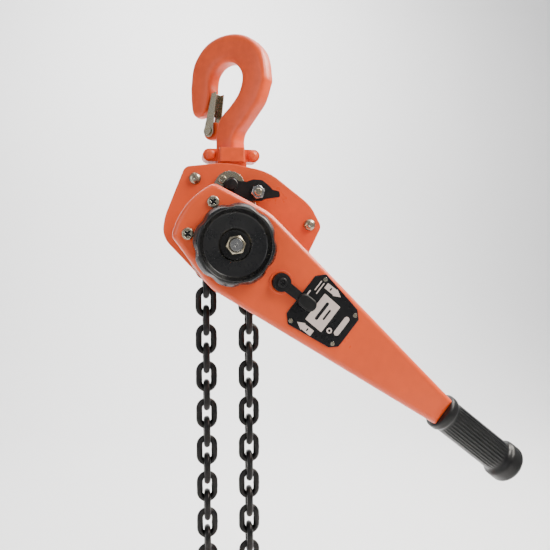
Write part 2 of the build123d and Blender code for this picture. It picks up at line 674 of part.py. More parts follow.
COVER_R = 45.5
PAWL_WINDOW = [(4, 3), (69, 58), (0, 110), (-55, 71)]
with BuildPart() as brake_cover:
    with BuildSketch(front(-PLATE_OUT - 0.05)):
        with BuildLine():
            lean = acos((COVER_R - 16.0) / LOBE[1])
            small = [(LOBE[0] + 16 * cos(pi / 2 + s * lean), LOBE[1] + 16 * sin(pi / 2 + s * lean))
                     for s in (-1, 1)]
            big = [(COVER_R * cos(pi / 2 + s * lean), COVER_R * sin(pi / 2 + s * lean))
                   for s in (-1, 1)]
            Line(big[0], small[0])
            ThreePointArc(small[0], (LOBE[0], LOBE[1] + 16), small[1])
            Line(small[1], big[1])
            ThreePointArc(big[1], (0, -COVER_R), big[0])
        make_face()
        Circle(22.5, mode=Mode.SUBTRACT)
        with Locations(*brake_screw_points()):
            Circle(2.5, mode=Mode.SUBTRACT)
        with Locations(PAWL_PIVOT):
            Circle(9.0, mode=Mode.SUBTRACT)
    extrude(amount=3.0)
    for depth, face, inner_r in ((-24.0, -45.0, COVER_R - 2.0), (-43.2, -45.0, 33.5)):
        with BuildSketch(front(depth)):
            Circle(COVER_R)
            Circle(inner_r, mode=Mode.SUBTRACT)
            Polygon(*PAWL_WINDOW, align=None, mode=Mode.SUBTRACT)
        extrude(amount=depth - face)
with BuildPart() as brake_cover_screws:
    for x, z in brake_screw_points():
        add(cross_screw(front(-24.08, x, z), 4.4, 2.2, 2.45, 6.4))


# ---- lever --------------------------------------------------------------------------
SHOULDER_U = -53.0                 # the head's two shoulders, along and across the lever
UPPER_V, LOWER_V = 36.0, -31.5
WAIST_U, WAIST_V = 8.0, 48.5       # widest place of the lever
END_V = 15.8                       # half width at the grip


def lever_outline(inset):
    """The lever's face: a rounded head that tapers to the grip, drawn inset."""
    shoulder_u = SHOULDER_U + inset * 0.9
    upper, lower = (shoulder_u, UPPER_V - inset), (shoulder_u, LOWER_V + inset)
    high, low = (WAIST_U, WAIST_V - inset), (WAIST_U, -WAIST_V + inset)
    end_v = END_V - inset
    with BuildSketch(Plane.XY, mode=Mode.PRIVATE) as face:
        with BuildLine():
            ThreePointArc(lower, (-HEAD_R + inset, 0), upper)
            Polyline(upper, high, (LEVER_SHELL_END, end_v), (LEVER_SHELL_END, -end_v), low, lower)
        make_face()
        for waist in (high, low):
            fillet(face.vertices().sort_by_distance(waist)[0], 60)
        for shoulder in (upper, lower):
            fillet(face.vertices().sort_by_distance(shoulder)[0], 8)
    return face.sketch


FRONT_SCREWS = [(-42.5, 20.0), (-42.5, -20.0)]
REAR_SCREWS = [(165.0, 17.5), (165.0, -17.5)]


def lever_shell(face_y, split_y, bore, round_over, through, blind):
    """One pressed shell of the lever, closed at face_y and open at split_y.

    Screws pass through the shell at the through points and end in it at the blind ones.
    """
    outward = -1 if face_y < split_y else 1
    depth = abs(face_y - split_y)
    with BuildPart() as shell:
        with BuildSketch(lever_front(split_y)):
            add(lever_outline(0))
        extrude(amount=-outward * depth)
        fillet(shell.faces().sort_by(Axis.Y)[0 if outward < 0 else -1].outer_wire().edges(),
               round_over)
        with BuildSketch(lever_front(split_y)):
            add(lever_outline(SHELL))
        extrude(amount=-outward * (depth - SHELL), mode=Mode.SUBTRACT)
        with BuildSketch(lever_front(split_y)):
            for u, v in FRONT_SCREWS + REAR_SCREWS:
                with Locations((u, v)):
                    Circle(4.6)
        extrude(amount=-outward * (depth - SHELL + 0.1))
        with BuildSketch(lever_front(split_y)):
            Circle(bore)
            with Locations((SELECTOR_AT, 0)):
                Circle(5.0 + FIT)
            with Locations(*through):
                Circle(2.5)
        extrude(amount=-outward * 20, mode=Mode.SUBTRACT)
        with BuildSketch(lever_front(split_y)):
            with Locations(*blind):
                Circle(2.5)
        extrude(amount=-outward * (depth - SHELL), mode=Mode.SUBTRACT)
        with BuildSketch(across_lever(LEVER_SHELL_END + 1)):
            Circle(TANG_R)
        extrude(amount=-46, mode=Mode.SUBTRACT)
    return shell.part


with BuildPart() as lever_front_shell:
    add(lever_shell(LEVER_FRONT, LEVER_SPLIT - 0.02, 13.0 + FIT, LEVER_EDGE,
                    FRONT_SCREWS, REAR_SCREWS))
    with BuildSketch(lever_front(LEVER_FRONT, SELECTOR_AT)):
        Circle(12.0)
        Circle(9.8, mode=Mode.SUBTRACT)
    extrude(amount=1.2)
with BuildPart() as lever_rear_shell:
    add(lever_shell(LEVER_BACK, LEVER_SPLIT + 0.02, 17.0 + FIT, LEVER_EDGE,
                    REAR_SCREWS, FRONT_SCREWS))
with BuildPart() as lever_tang:
    with BuildSketch(across_lever(LEVER_SHELL_END - 44)):
        Circle(TANG_R - 0.03)
        Circle(TANG_R - 3.0, mode=Mode.SUBTRACT)
    extrude(amount=GRIP_END - 8 - LEVER_SHELL_END + 44)
with BuildPart() as lever_screws:
    for u, v in FRONT_SCREWS:
        add(cross_screw(lever_front(LEVER_FRONT - 0.03, u, v), 6.0, 2.6, 2.45, 23.0))
    for u, v in REAR_SCREWS:
        base = lever_front(LEVER_BACK + 0.03, u, v)
        rear = Plane(base.origin, x_dir=base.x_dir, z_dir=(0, 1, 0))
        add(cross_screw(rear, 6.0, 2.6, 2.45, 23.0))
with BuildPart() as lever_grip:
    with BuildSketch(lever_front(LEVER_SPLIT)):
        with BuildLine():
            Polyline((GRIP_START, 0), (GRIP_START, 18.5), (GRIP_START + 2, 20.5),
                     (GRIP_START + 8, 20.5), (GRIP_START + 10, GRIP_R), (GRIP_END - 20, GRIP_R),
                     (GRIP_END - 16, 21.0), (GRIP_END - 12, 22.0), (GRIP_END - 5, 22.0),
                     (GRIP_END, 18.0), (GRIP_END, 0), close=True)
        make_face()
    revolve(axis=Axis(lever_front(LEVER_SPLIT).origin, lever_front(LEVER_SPLIT).x_dir))
    with BuildSketch(across_lever(GRIP_START - 1)):
        Circle(TANG_R)
    extrude(amount=GRIP_END - 7.5 - GRIP_START + 1, mode=Mode.SUBTRACT)
    with BuildSketch(lever_front(LEVER_FRONT - 0.02)):
        with Locations((LEVER_SHELL_END / 2 + 0.02, 0)):
            Rectangle(LEVER_SHELL_END, 34)
    extrude(amount=-26.54, mode=Mode.SUBTRACT)

PLATE_CORNERS = [(84, 27), (92, 35.2), (141, 27.2), (149, 20), (149, -15), (141, -22), (92, -29),
                 (84, -21)]
PLATE_RIVETS = [(94.5, 30.5), (92.0, -24.5), (143, 21.0), (142, -16.5)]
with BuildPart() as rating_plate:
    with BuildSketch(lever_front(LEVER_FRONT - 0.02)) as outline:
        Polygon(*PLATE_CORNERS, align=None)
        fillet(outline.vertices(), 2.5)
        with Locations(*PLATE_RIVETS):
            Circle(1.3, mode=Mode.SUBTRACT)
    extrude(amount=0.8)
with BuildPart() as rating_plate_rivets:
    for u, v in PLATE_RIVETS:
        with BuildSketch(lever_front(LEVER_FRONT - 0.84, u, v)):
            Circle(2.2)
        extrude(amount=0.45)
        with BuildSketch(lever_front(LEVER_FRONT - 0.84, u, v)):
            Circle(1.25)
        extrude(amount=-0.84)

# ---- selector and change pawl -------------------------------------------------------
BEAK_REACH = 32.6
with BuildPart() as selector_lever:
    with BuildSketch(lever_front(LEVER_FRONT - 0.35, SELECTOR_AT)):
        Circle(9.3)
    extrude(amount=6.0)
    with BuildSketch(lever_front(LEVER_FRONT - 1.6, SELECTOR_AT)):
        with BuildLine():
            Polyline((0, -5.5), (30, -4.6), (30, 4.6), (0, 5.5), close=True)
        make_face()
    extrude(amount=3.6)
    with BuildSketch(lever_front(LEVER_FRONT - 1.6, SELECTOR_AT + 33)):
        SlotOverall(21, 13.5)
    extrude(amount=6.8)
    fillet(selector_lever.faces().sort_by(Axis.Y)[0].edges(), 2.0)
    with BuildSketch(lever_front(LEVER_FRONT, SELECTOR_AT)):
        Rectangle(7.0, 7.0)
    extrude(amount=12, mode=Mode.SUBTRACT)
with BuildPart() as change_pawl:
    with BuildSketch(lever_front(-49.6, SELECTOR_AT)):
        with BuildLine():
            s = radians(30)
            outer = [(-BEAK_REACH * cos(s), BEAK_REACH * sin(s)), (-2, 12), (9, 8), (9, -8),
                     (-2, -12), (-BEAK_REACH * cos(s), -BEAK_REACH * sin(s)),
                     (-20, -4), (-20, 4)]
            Polyline(*outer, close=True)
        make_face()
    extrude(amount=9.4)
    with BuildSketch(lever_front(LEVER_BACK + 0.4, SELECTOR_AT)):
        Circle(5.0)
    extrude(amount=LEVER_BACK + 0.4 - LEVER_FRONT)
    with BuildSketch(lever_front(LEVER_FRONT, SELECTOR_AT)):
        Rectangle(6.9, 6.9)
    extrude(amount=5.0)
    with BuildSketch(lever_front(LEVER_FRONT - 5.0, SELECTOR_AT)):
        Circle(2.0)
    extrude(amount=-12, mode=Mode.SUBTRACT)
with BuildPart() as selector_screw:
    add(cross_screw(lever_front(LEVER_FRONT - 6.38, SELECTOR_AT), 5.0, 2.2, 1.95, 12.0))

# ---- chain --------------------------------------------------------------------------
with BuildPart() as chain_on_sheave:
    link = chain_link()
    for i in range(5):
        a = pi * i / 4
        r = FLAT_LINK_R if i % 2 == 0 else UPRIGHT_LINK_R
        spin = Location((MAIN_X, 0, MAIN_Z), (0, -degrees(a), 0))
        flat = Location((r, 0, 0), (0, 0, 90 if i % 2 == 0 else 0))
        add(link.moved(spin * flat))
    for side in (-1, 1):
        add(chain_strand(side * STRAND_X, -PITCH, 2))
with BuildPart() as load_chain:
    add(chain_strand(STRAND_X, SWING_Z - PITCH / 2, FREE_LINKS))
with BuildPart() as slack_chain:
    add(chain_strand(-STRAND_X, SWING_Z - PITCH / 2, FREE_LINKS))

# ---- load block ---------------------------------------------------------------------
LAST_LINK_Z = SWING_Z - PITCH / 2 - (FREE_LINKS - 1) * PITCH
CHAIN_PIN_R = 4.4
CHAIN_PIN_Z = LAST_LINK_Z - LINK_INNER / 2 + CHAIN_PIN_R + GAP
BLOCK_TOP = CHAIN_PIN_Z + 8.5
BLOCK_LOW = BLOCK_TOP - 58.0
BLOCK_SHANK_Z = BLOCK_LOW - 0.5
LOAD_SADDLE_Z = MAIN_Z + BLOCK_SHANK_Z + HOOK_SHANK_Z
LOAD_X = MAIN_X + STRAND_X


def load_block_half(side):
    """Half of the load block: it clamps the chain pin and the hook's collar."""
    with BuildPart() as half:
        with BuildSketch(front(side * 0.02, STRAND_X)) as outline:
            with BuildLine():
                Polyline((-11, BLOCK_TOP), (11, BLOCK_TOP), (21, BLOCK_TOP - 18), (21, BLOCK_LOW + 8),
                         (15, BLOCK_LOW), (-15, BLOCK_LOW), (-21, BLOCK_LOW + 8),
                         (-21, BLOCK_TOP - 18), close=True)
            make_face()
            fillet(outline.vertices(), 4)
        extrude(amount=-side * 15.5)
        fillet(half.faces().sort_by(Axis.Y)[0 if side < 0 else -1].edges(), 2.5)
        with BuildSketch(front(0, STRAND_X)):
            with Locations((0, BLOCK_TOP - 12)):
                Rectangle(30, 32)
        extrude(amount=4.4, both=True, mode=Mode.SUBTRACT)
        with BuildSketch(Plane((LOAD_X, 0, MAIN_Z + BLOCK_LOW - 1))):
            Circle(8.0 + FIT)
        extrude(amount=20, mode=Mode.SUBTRACT)
        with BuildSketch(Plane((LOAD_X, 0, MAIN_Z + BLOCK_SHANK_Z + NECK - 0.15))):
            Circle(11.8)
        extrude(amount=COLLAR + 0.4, mode=Mode.SUBTRACT)
        with BuildSketch(front(0, STRAND_X)):
            with Locations((0, CHAIN_PIN_Z)):
                Circle(CHAIN_PIN_R + 0.02)
            with Locations((-16, BLOCK_LOW + 20), (16, BLOCK_LOW + 20)):
                Circle(3.0)
        extrude(amount=20, both=True, mode=Mode.SUBTRACT)
    return half.part


with BuildPart() as load_block_front:
    add(load_block_half(-1))
with BuildPart() as load_block_rear:
    add(load_block_half(1))
with BuildPart() as load_chain_pin:
    add(turned([(0, -15.2), (CHAIN_PIN_R, -15.2), (CHAIN_PIN_R, 15.2), (0, 15.2)],
               STRAND_X, CHAIN_PIN_Z))
with BuildPart() as load_block_rivets:
    for x in (-16, 16):
        add(turned([(0, -19.0), (3.0, -18.8), (5.0, -17.6), (5.6, -15.55), (2.95, -15.55),
                    (2.95, 15.55), (5.6, 15.55), (5.0, 17.6), (3.0, 18.8), (0, 19.0)],
                   STRAND_X + x, BLOCK_LOW + 20))

LOAD_HOOK_PLANE = Plane((LOAD_X, 0, LOAD_SADDLE_Z), x_dir=(1, 0, 0), z_dir=(0, 1, 0))
with BuildPart() as load_hook:
    add(hook_body(LOAD_HOOK_PLANE, NECK, COLLAR))
with BuildPart() as load_latch:
    add(hook_latch(LOAD_HOOK_PLANE))
with BuildPart() as load_latch_pin:
    add(latch_pin(LOAD_HOOK_PLANE))

# ---- end ring on the slack chain ----------------------------------------------------
RING_WIRE_R, RING_R = 4.0, 20.0
RING_TOP_Z = LAST_LINK_Z - LINK_INNER / 2 + RING_WIRE_R + GAP
with BuildPart() as end_ring:
    centre = Vector(MAIN_X - STRAND_X, 0, MAIN_Z + RING_TOP_Z - RING_R)
    with Locations(Location(centre, (0, 90, 0))):
        Torus(RING_R, RING_WIRE_R)

# ---- write every piece --------------------------------------------------------------
PIECES = {
    "top_hook": top_hook, "top_latch": top_latch, "top_latch_pin": top_latch_pin,
    "yoke_front": yoke_front, "yoke_rear": yoke_rear, "yoke_rivets": yoke_rivets,
    "top_pin": top_pin, "front_side_plate": front_side_plate,
    "rear_side_plate": rear_side_plate, "stay_bolts": stay_bolts, "stay_nuts": stay_nuts,
    "chain_guide": chain_guide, "chain_stripper": chain_stripper,
    "bearing_races": bearing_races, "bearing_balls": bearing_balls,
    "load_sheave": load_sheave, "load_gear": load_gear,
    "disc_gear_right": disc_gear_right, "disc_gear_left": disc_gear_left,
    "gear_cover": gear_cover, "gear_cover_screws": gear_cover_screws,
    "drive_shaft": drive_shaft, "friction_hub": friction_hub,
    "friction_discs": friction_discs, "change_gear": change_gear,
    "handwheel": handwheel, "handwheel_washer": handwheel_washer,
    "handwheel_nut": handwheel_nut, "ratchet_disc": ratchet_disc,
    "ratchet_bush": ratchet_bush, "check_pawl": check_pawl, "pawl_knob": pawl_knob,
    "pawl_stud": pawl_stud, "pawl_nut": pawl_nut, "pawl_spring": pawl_spring,
    "brake_cover": brake_cover, "brake_cover_screws": brake_cover_screws,
    "lever_front_shell": lever_front_shell, "lever_rear_shell": lever_rear_shell,
    "lever_tang": lever_tang, "lever_screws": lever_screws, "lever_grip": lever_grip,
    "rating_plate": rating_plate, "rating_plate_rivets": rating_plate_rivets,
    "selector_lever": selector_lever, "change_pawl": change_pawl,
    "selector_screw": selector_screw, "chain_on_sheave": chain_on_sheave,
    "load_chain": load_chain, "slack_chain": slack_chain,
    "load_block_front": load_block_front, "load_block_rear": load_block_rear,
    "load_chain_pin": load_chain_pin, "load_block_rivets": load_block_rivets,
    "load_hook": load_hook, "load_latch": load_latch, "load_latch_pin": load_latch_pin,
    "end_ring": end_ring,
}
for name, piece in PIECES.items():
    piece.part.label = name
    export_step(piece.part, f"parts/{name}.step")
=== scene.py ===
"""Lever chain hoist: surfaces, finishes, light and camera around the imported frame."""

import json
import math

import bpy
import numpy as np
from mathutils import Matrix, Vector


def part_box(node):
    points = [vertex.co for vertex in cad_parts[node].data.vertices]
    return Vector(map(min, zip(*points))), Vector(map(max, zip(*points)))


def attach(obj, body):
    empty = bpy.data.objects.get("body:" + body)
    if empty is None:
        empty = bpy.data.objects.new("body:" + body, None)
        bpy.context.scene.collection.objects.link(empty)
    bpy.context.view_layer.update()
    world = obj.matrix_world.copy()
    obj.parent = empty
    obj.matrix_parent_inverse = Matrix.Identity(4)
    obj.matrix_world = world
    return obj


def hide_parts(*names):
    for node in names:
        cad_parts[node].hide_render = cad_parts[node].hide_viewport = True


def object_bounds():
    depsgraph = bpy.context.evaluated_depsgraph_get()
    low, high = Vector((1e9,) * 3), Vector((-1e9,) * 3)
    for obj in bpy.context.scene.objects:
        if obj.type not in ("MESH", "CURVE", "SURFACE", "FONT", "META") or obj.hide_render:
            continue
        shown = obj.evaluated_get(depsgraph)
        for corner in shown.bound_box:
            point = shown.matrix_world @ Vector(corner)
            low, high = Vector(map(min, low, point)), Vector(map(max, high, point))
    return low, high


bl_info = {
    "name": "Lever chain hoist",
    "version": (1, 0, 0),
    "blender": (4, 5, 0),
    "location": "3D View > Sidebar > Hoist",
    "description": "Builds the visible surfaces and finishes of a lever chain hoist",
    "category": "Object",
}

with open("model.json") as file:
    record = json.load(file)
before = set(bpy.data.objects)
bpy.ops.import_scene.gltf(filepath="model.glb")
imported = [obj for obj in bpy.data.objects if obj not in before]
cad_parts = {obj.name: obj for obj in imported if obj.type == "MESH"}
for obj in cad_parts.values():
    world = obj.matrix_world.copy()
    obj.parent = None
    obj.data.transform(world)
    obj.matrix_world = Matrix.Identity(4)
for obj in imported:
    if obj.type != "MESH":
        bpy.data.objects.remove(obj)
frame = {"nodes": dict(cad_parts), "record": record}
CAD_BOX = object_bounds()
MM = 0.001


def joint_pivot(name):
    """The pivot of a named joint, in metres."""
    for joint in frame["record"]["behaviour"]["joints"]:
        if joint["name"] == name:
            return np.array(joint["pos_m"], dtype=float)
    raise KeyError(name)


MAIN = joint_pivot("sheave_turn")
SELECTOR = joint_pivot("selector_turn")
LEVER_DIR = (SELECTOR - MAIN) * (1, 0, 1)
LEVER_DIR = LEVER_DIR / np.linalg.norm(LEVER_DIR)
LEVER_SIDE = np.array((-LEVER_DIR[2], 0.0, LEVER_DIR[0]))
FRONT = np.array((0.0, -1.0, 0.0))

# Sizes of the hoist in millimetres, shared by several surfaces.
WIRE = 7.1            # chain wire
PITCH = 21.0          # from one link to the next
LINK_WIDTH = 23.8     # outside width of a link
LINK_INSIDE = 21.35   # inside length of a link
FLAT_LINK_R, EDGE_LINK_R = 23.9, 26.8   # how far the held links lie from the main axis
BOWL_R = 20.0         # inside radius of the hooks' bowl
GRIP_START, GRIP_END = 290.0, 402.0     # along the lever from the main axis
GRIP_Y = -60.0        # depth of the grip's middle line
SCALLOPS = 8          # scallops round the handwheel
PRINT_DEPTH = 0.06    # thickness of a printed field on the rating plate
ROUND = 48            # points round a turned part


def node_ends(name):
    """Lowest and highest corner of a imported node, as arrays."""
    low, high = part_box(name)
    return np.array(low, dtype=float), np.array(high, dtype=float)


# ---- mesh helpers -------------------------------------------------------------------
def grid_faces(rows, cols, close_rows=False, close_cols=True, cap_rows=False):
    """Corner numbers of the quads over a grid of points, and of its end caps if it has any."""
    index = np.arange(rows * cols).reshape(rows, cols)
    down = np.roll(index, -1, axis=0) if close_rows else index
    first = index if close_rows else index[:-1]
    second = down if close_rows else index[1:]
    if close_cols:
        next_first, next_second = np.roll(first, -1, axis=1), np.roll(second, -1, axis=1)
    else:
        next_first, next_second = first[:, 1:], second[:, 1:]
        first, second = first[:, :-1], second[:, :-1]
    quads = np.stack([first, next_first, next_second, second], axis=-1).reshape(-1, 4)
    return quads, [index[0][::-1], index[-1]] if cap_rows else []


def joined(name, grids, **closing):
    """One quad mesh over one or more grids; rows run one way and columns round it."""
    points, faces, shift = [], [], 0
    for grid in grids:
        grid = np.asarray(grid, dtype=float)
        quads, caps = grid_faces(*grid.shape[:2], **closing)
        faces += (quads + shift).tolist() + [(cap + shift).tolist() for cap in caps]
        points.append(grid.reshape(-1, 3))
        shift += len(points[-1])
    return make_mesh(name, np.concatenate(points), faces)


def grid_mesh(name, grid, **closing):
    """A quad mesh over a single grid of points."""
    return joined(name, [grid], **closing)


def make_mesh(name, points, faces, smooth=True):
    """A mesh object at the origin from an array of points and a list of faces."""
    mesh = bpy.data.meshes.new(name)
    mesh.from_pydata(np.asarray(points).tolist(), [], faces)
    mesh.validate()
    mesh.polygons.foreach_set("use_smooth", [smooth] * len(mesh.polygons))
    mesh.update()
    obj = bpy.data.objects.new(name, mesh)
    bpy.context.scene.collection.objects.link(obj)
    outward(obj)
    return obj


def outward(obj):
    """Turns the mesh right side out when its signed volume is negative."""
    mesh = obj.data
    mesh.calc_loop_triangles()
    count = len(mesh.loop_triangles)
    corners = np.empty(count * 3, dtype=np.int32)
    mesh.loop_triangles.foreach_get("vertices", corners)
    points = np.empty(len(mesh.vertices) * 3)
    mesh.vertices.foreach_get("co", points)
    a, b, c = points.reshape(-1, 3)[corners.reshape(-1, 3)].transpose(1, 0, 2)
    if np.einsum("ij,ij->i", a, np.cross(b, c)).sum() < 0:
        mesh.flip_normals()


def smooth_path(points, count):
    """A Catmull-Rom curve through the points, sampled at even steps of its parameter."""
    points = np.asarray(points, dtype=float)
    padded = np.concatenate([2 * points[:1] - points[1:2], points,
                             2 * points[-1:] - points[-2:-1]])
    t = np.linspace(0, len(points) - 1 - 1e-9, count)
    i = t.astype(int)
    f = (t - i)[:, None]
    p0, p1, p2, p3 = padded[i], padded[i + 1], padded[i + 2], padded[i + 3]
    return 0.5 * (2 * p1 + (p2 - p0) * f + (2 * p0 - 5 * p1 + 4 * p2 - p3) * f ** 2
                  + (3 * p1 - p0 - 3 * p2 + p3) * f ** 3)


def rounded_loop(points, radius, steps=5, closed=True):
    """A polyline whose corners are quadratic arcs that start a radius before each corner."""
    points = np.asarray(points, dtype=float)
    before, after = np.roll(points, 1, axis=0), np.roll(points, -1, axis=0)
    to_before, to_after = before - points, after - points
    reach_before = np.minimum(radius, 0.45 * np.linalg.norm(to_before, axis=1))[:, None]
    reach_after = np.minimum(radius, 0.45 * np.linalg.norm(to_after, axis=1))[:, None]
    start = points + to_before / np.linalg.norm(to_before, axis=1)[:, None] * reach_before
    end = points + to_after / np.linalg.norm(to_after, axis=1)[:, None] * reach_after
    t = np.linspace(0, 1, steps)[None, :, None]
    arcs = ((1 - t) ** 2 * start[:, None] + 2 * t * (1 - t) * points[:, None]
            + t ** 2 * end[:, None])
    if not closed:
        arcs[0] = points[0]
        arcs[-1] = points[-1]
    return arcs.reshape(-1, 2)


def tube(path, radius, sides=12):
    """Rings of a round tube carried along a path.

    Each ring lies across the path's tangent. It is set square by the cross product of the
    tangent with one fixed direction.
    """
    path = np.asarray(path, dtype=float)
    tangent = np.gradient(path, axis=0)
    tangent /= np.linalg.norm(tangent, axis=1)[:, None]
    side = np.cross(tangent, (0.31, 0.87, 0.39))
    side /= np.linalg.norm(side, axis=1)[:, None]
    other = np.cross(tangent, side)
    turn = np.linspace(0, 2 * math.pi, sides, endpoint=False)
    return (path[:, None] + radius * (side[:, None] * np.cos(turn)[None, :, None]
                                      + other[:, None] * np.sin(turn)[None, :, None]))


def prism(name, outline, lift, depth, along=LEVER_DIR, side=LEVER_SIDE, origin=MAIN):
    """A flat plate: an outline in (along, side) millimetres between two depths in Y."""
    outline = np.asarray(outline, dtype=float) * MM
    flat = origin * (1, 0, 1) + outline[:, :1] * along + outline[:, 1:] * side
    back, face = flat.copy(), flat.copy()
    back[:, 1], face[:, 1] = lift, lift - depth
    count = len(outline)
    ring = np.arange(count)
    walls = np.stack([ring, np.roll(ring, -1), np.roll(ring, -1) + count, ring + count], axis=-1)
    faces = walls.tolist() + [ring[::-1].tolist(), (ring + count).tolist()]
    return make_mesh(name, np.concatenate([back, face]), faces, smooth=False)


# ---- shader helpers -----------------------------------------------------------------
class Tree:
    """Small wrapper that adds nodes to a node tree and links them."""

    def __init__(self, tree):
        """Keeps the node tree to work on."""
        self.tree = tree

    def add(self, kind, **values):
        """A new node of that kind with its settings."""
        node = self.tree.nodes.new(kind)
        for key, value in values.items():
            setattr(node, key, value)
        return node

    def link(self, start, end):
        """Links an output to an input."""
        self.tree.links.new(start, end)

    def math(self, operation, first, second):
        """The result of a math operation on two numbers or outputs."""
        node = self.add("ShaderNodeMath", operation=operation)
        for socket, value in zip(node.inputs, (first, second)):
            if isinstance(value, (int, float)):
                socket.default_value = value
            else:
                self.link(value, socket)
        return node.outputs[0]

    def noise(self, vector, scale):
        """Noise of three octaves over the coordinates, from 0 to 1."""
        node = self.add("ShaderNodeTexNoise")
        node.inputs["Scale"].default_value = scale
        node.inputs["Detail"].default_value = 3.0
        node.inputs["Roughness"].default_value = 0.55
        self.link(vector, node.inputs["Vector"])
        return node.outputs["Fac"]

    def mix(self, factor, first, second):
        """A mix of two colours or outputs by a factor."""
        node = self.add("ShaderNodeMix", data_type="RGBA")
        for socket, value in ((node.inputs[0], factor), (node.inputs[6], first),
                              (node.inputs[7], second)):
            if isinstance(value, (int, float)):
                socket.default_value = value
            elif isinstance(value, tuple):
                socket.default_value = (*value, 1.0)
            else:
                self.link(value, socket)
        return node.outputs[2]


def new_group(name, inputs, outputs):
    """An empty shader node group with named sockets."""
    group = bpy.data.node_groups.new(name, "ShaderNodeTree")
    for label, kind, default in inputs:
        socket = group.interface.new_socket(label, in_out="INPUT", socket_type=kind)
        if default is not None:
            socket.default_value = default
    for label, kind in outputs:
        group.interface.new_socket(label, in_out="OUTPUT", socket_type=kind)
    tree = Tree(group)
    return group, tree, tree.add("NodeGroupInput"), tree.add("NodeGroupOutput")


def edge_rubbing_and_highlight_group():
    """Edge colour mask for rubbing wear, and on the handwheel also a painted highlight: how far a
    rounded normal leaves the flat one, broken up by noise.
    """
    name = "Edge wear"
    if name in bpy.data.node_groups:
        return bpy.data.node_groups[name]
    group, tree, inside, out = new_group(
        name,
        [("Vector", "NodeSocketVector", None), ("Rounded", "NodeSocketVector", None),
         ("Start", "NodeSocketFloat", 0.06), ("End", "NodeSocketFloat", 0.3),
         ("Break Up", "NodeSocketFloat", 300.0)],
        [("Mask", "NodeSocketFloat")])
    geometry = tree.add("ShaderNodeNewGeometry")
    dot = tree.add("ShaderNodeVectorMath", operation="DOT_PRODUCT")
    tree.link(inside.outputs["Rounded"], dot.inputs[0])
    tree.link(geometry.outputs["Normal"], dot.inputs[1])
    bend = tree.math("SUBTRACT", 1.0, dot.outputs["Value"])
    noise = tree.add("ShaderNodeTexNoise")
    noise.inputs["Detail"].default_value = 4.0
    tree.link(inside.outputs["Vector"], noise.inputs["Vector"])
    tree.link(inside.outputs["Break Up"], noise.inputs["Scale"])
    broken = tree.math("MULTIPLY", bend, tree.math("MULTIPLY", noise.outputs["Fac"], 2.0))
    span = tree.add("ShaderNodeMapRange")
    tree.link(broken, span.inputs["Value"])
    tree.link(inside.outputs["Start"], span.inputs["From Min"])
    tree.link(inside.outputs["End"], span.inputs["From Max"])
    tree.link(span.outputs["Result"], out.inputs["Mask"])
    return group


def mottle_group():
    """Cloudy variation: two noises of different size added to a value from 0 to 1."""
    name = "Mottle"
    if name in bpy.data.node_groups:
        return bpy.data.node_groups[name]
    group, tree, inside, out = new_group(
        name,
        [("Vector", "NodeSocketVector", None), ("Large", "NodeSocketFloat", 30.0),
         ("Small", "NodeSocketFloat", 250.0), ("Share", "NodeSocketFloat", 0.5)],
        [("Value", "NodeSocketFloat")])
    values = []
    for label in ("Large", "Small"):
        noise = tree.add("ShaderNodeTexNoise")
        noise.inputs["Detail"].default_value = 4.0
        tree.link(inside.outputs["Vector"], noise.inputs["Vector"])
        tree.link(inside.outputs[label], noise.inputs["Scale"])
        values.append(noise.outputs["Fac"])
    blend = tree.add("ShaderNodeMix", data_type="FLOAT")
    tree.link(inside.outputs["Share"], blend.inputs[0])
    tree.link(values[0], blend.inputs[2])
    tree.link(values[1], blend.inputs[3])
    span = tree.add("ShaderNodeMapRange", interpolation_type="SMOOTHSTEP")
    span.inputs["From Min"].default_value = 0.3
    span.inputs["From Max"].default_value = 0.7
    tree.link(blend.outputs[0], span.inputs["Value"])
    tree.link(span.outputs["Result"], out.inputs["Value"])
    return group


def new_material(name):
    """An empty material with its shader and object coordinates."""
    material = bpy.data.materials.new(name)
    material.use_nodes = True
    material.node_tree.nodes.clear()
    tree = Tree(material.node_tree)
    shader = tree.add("ShaderNodeBsdfPrincipled")
    output = tree.add("ShaderNodeOutputMaterial")
    tree.link(shader.outputs["BSDF"], output.inputs["Surface"])
    where = tree.add("ShaderNodeTexCoord").outputs["Object"]
    return material, tree, shader, where


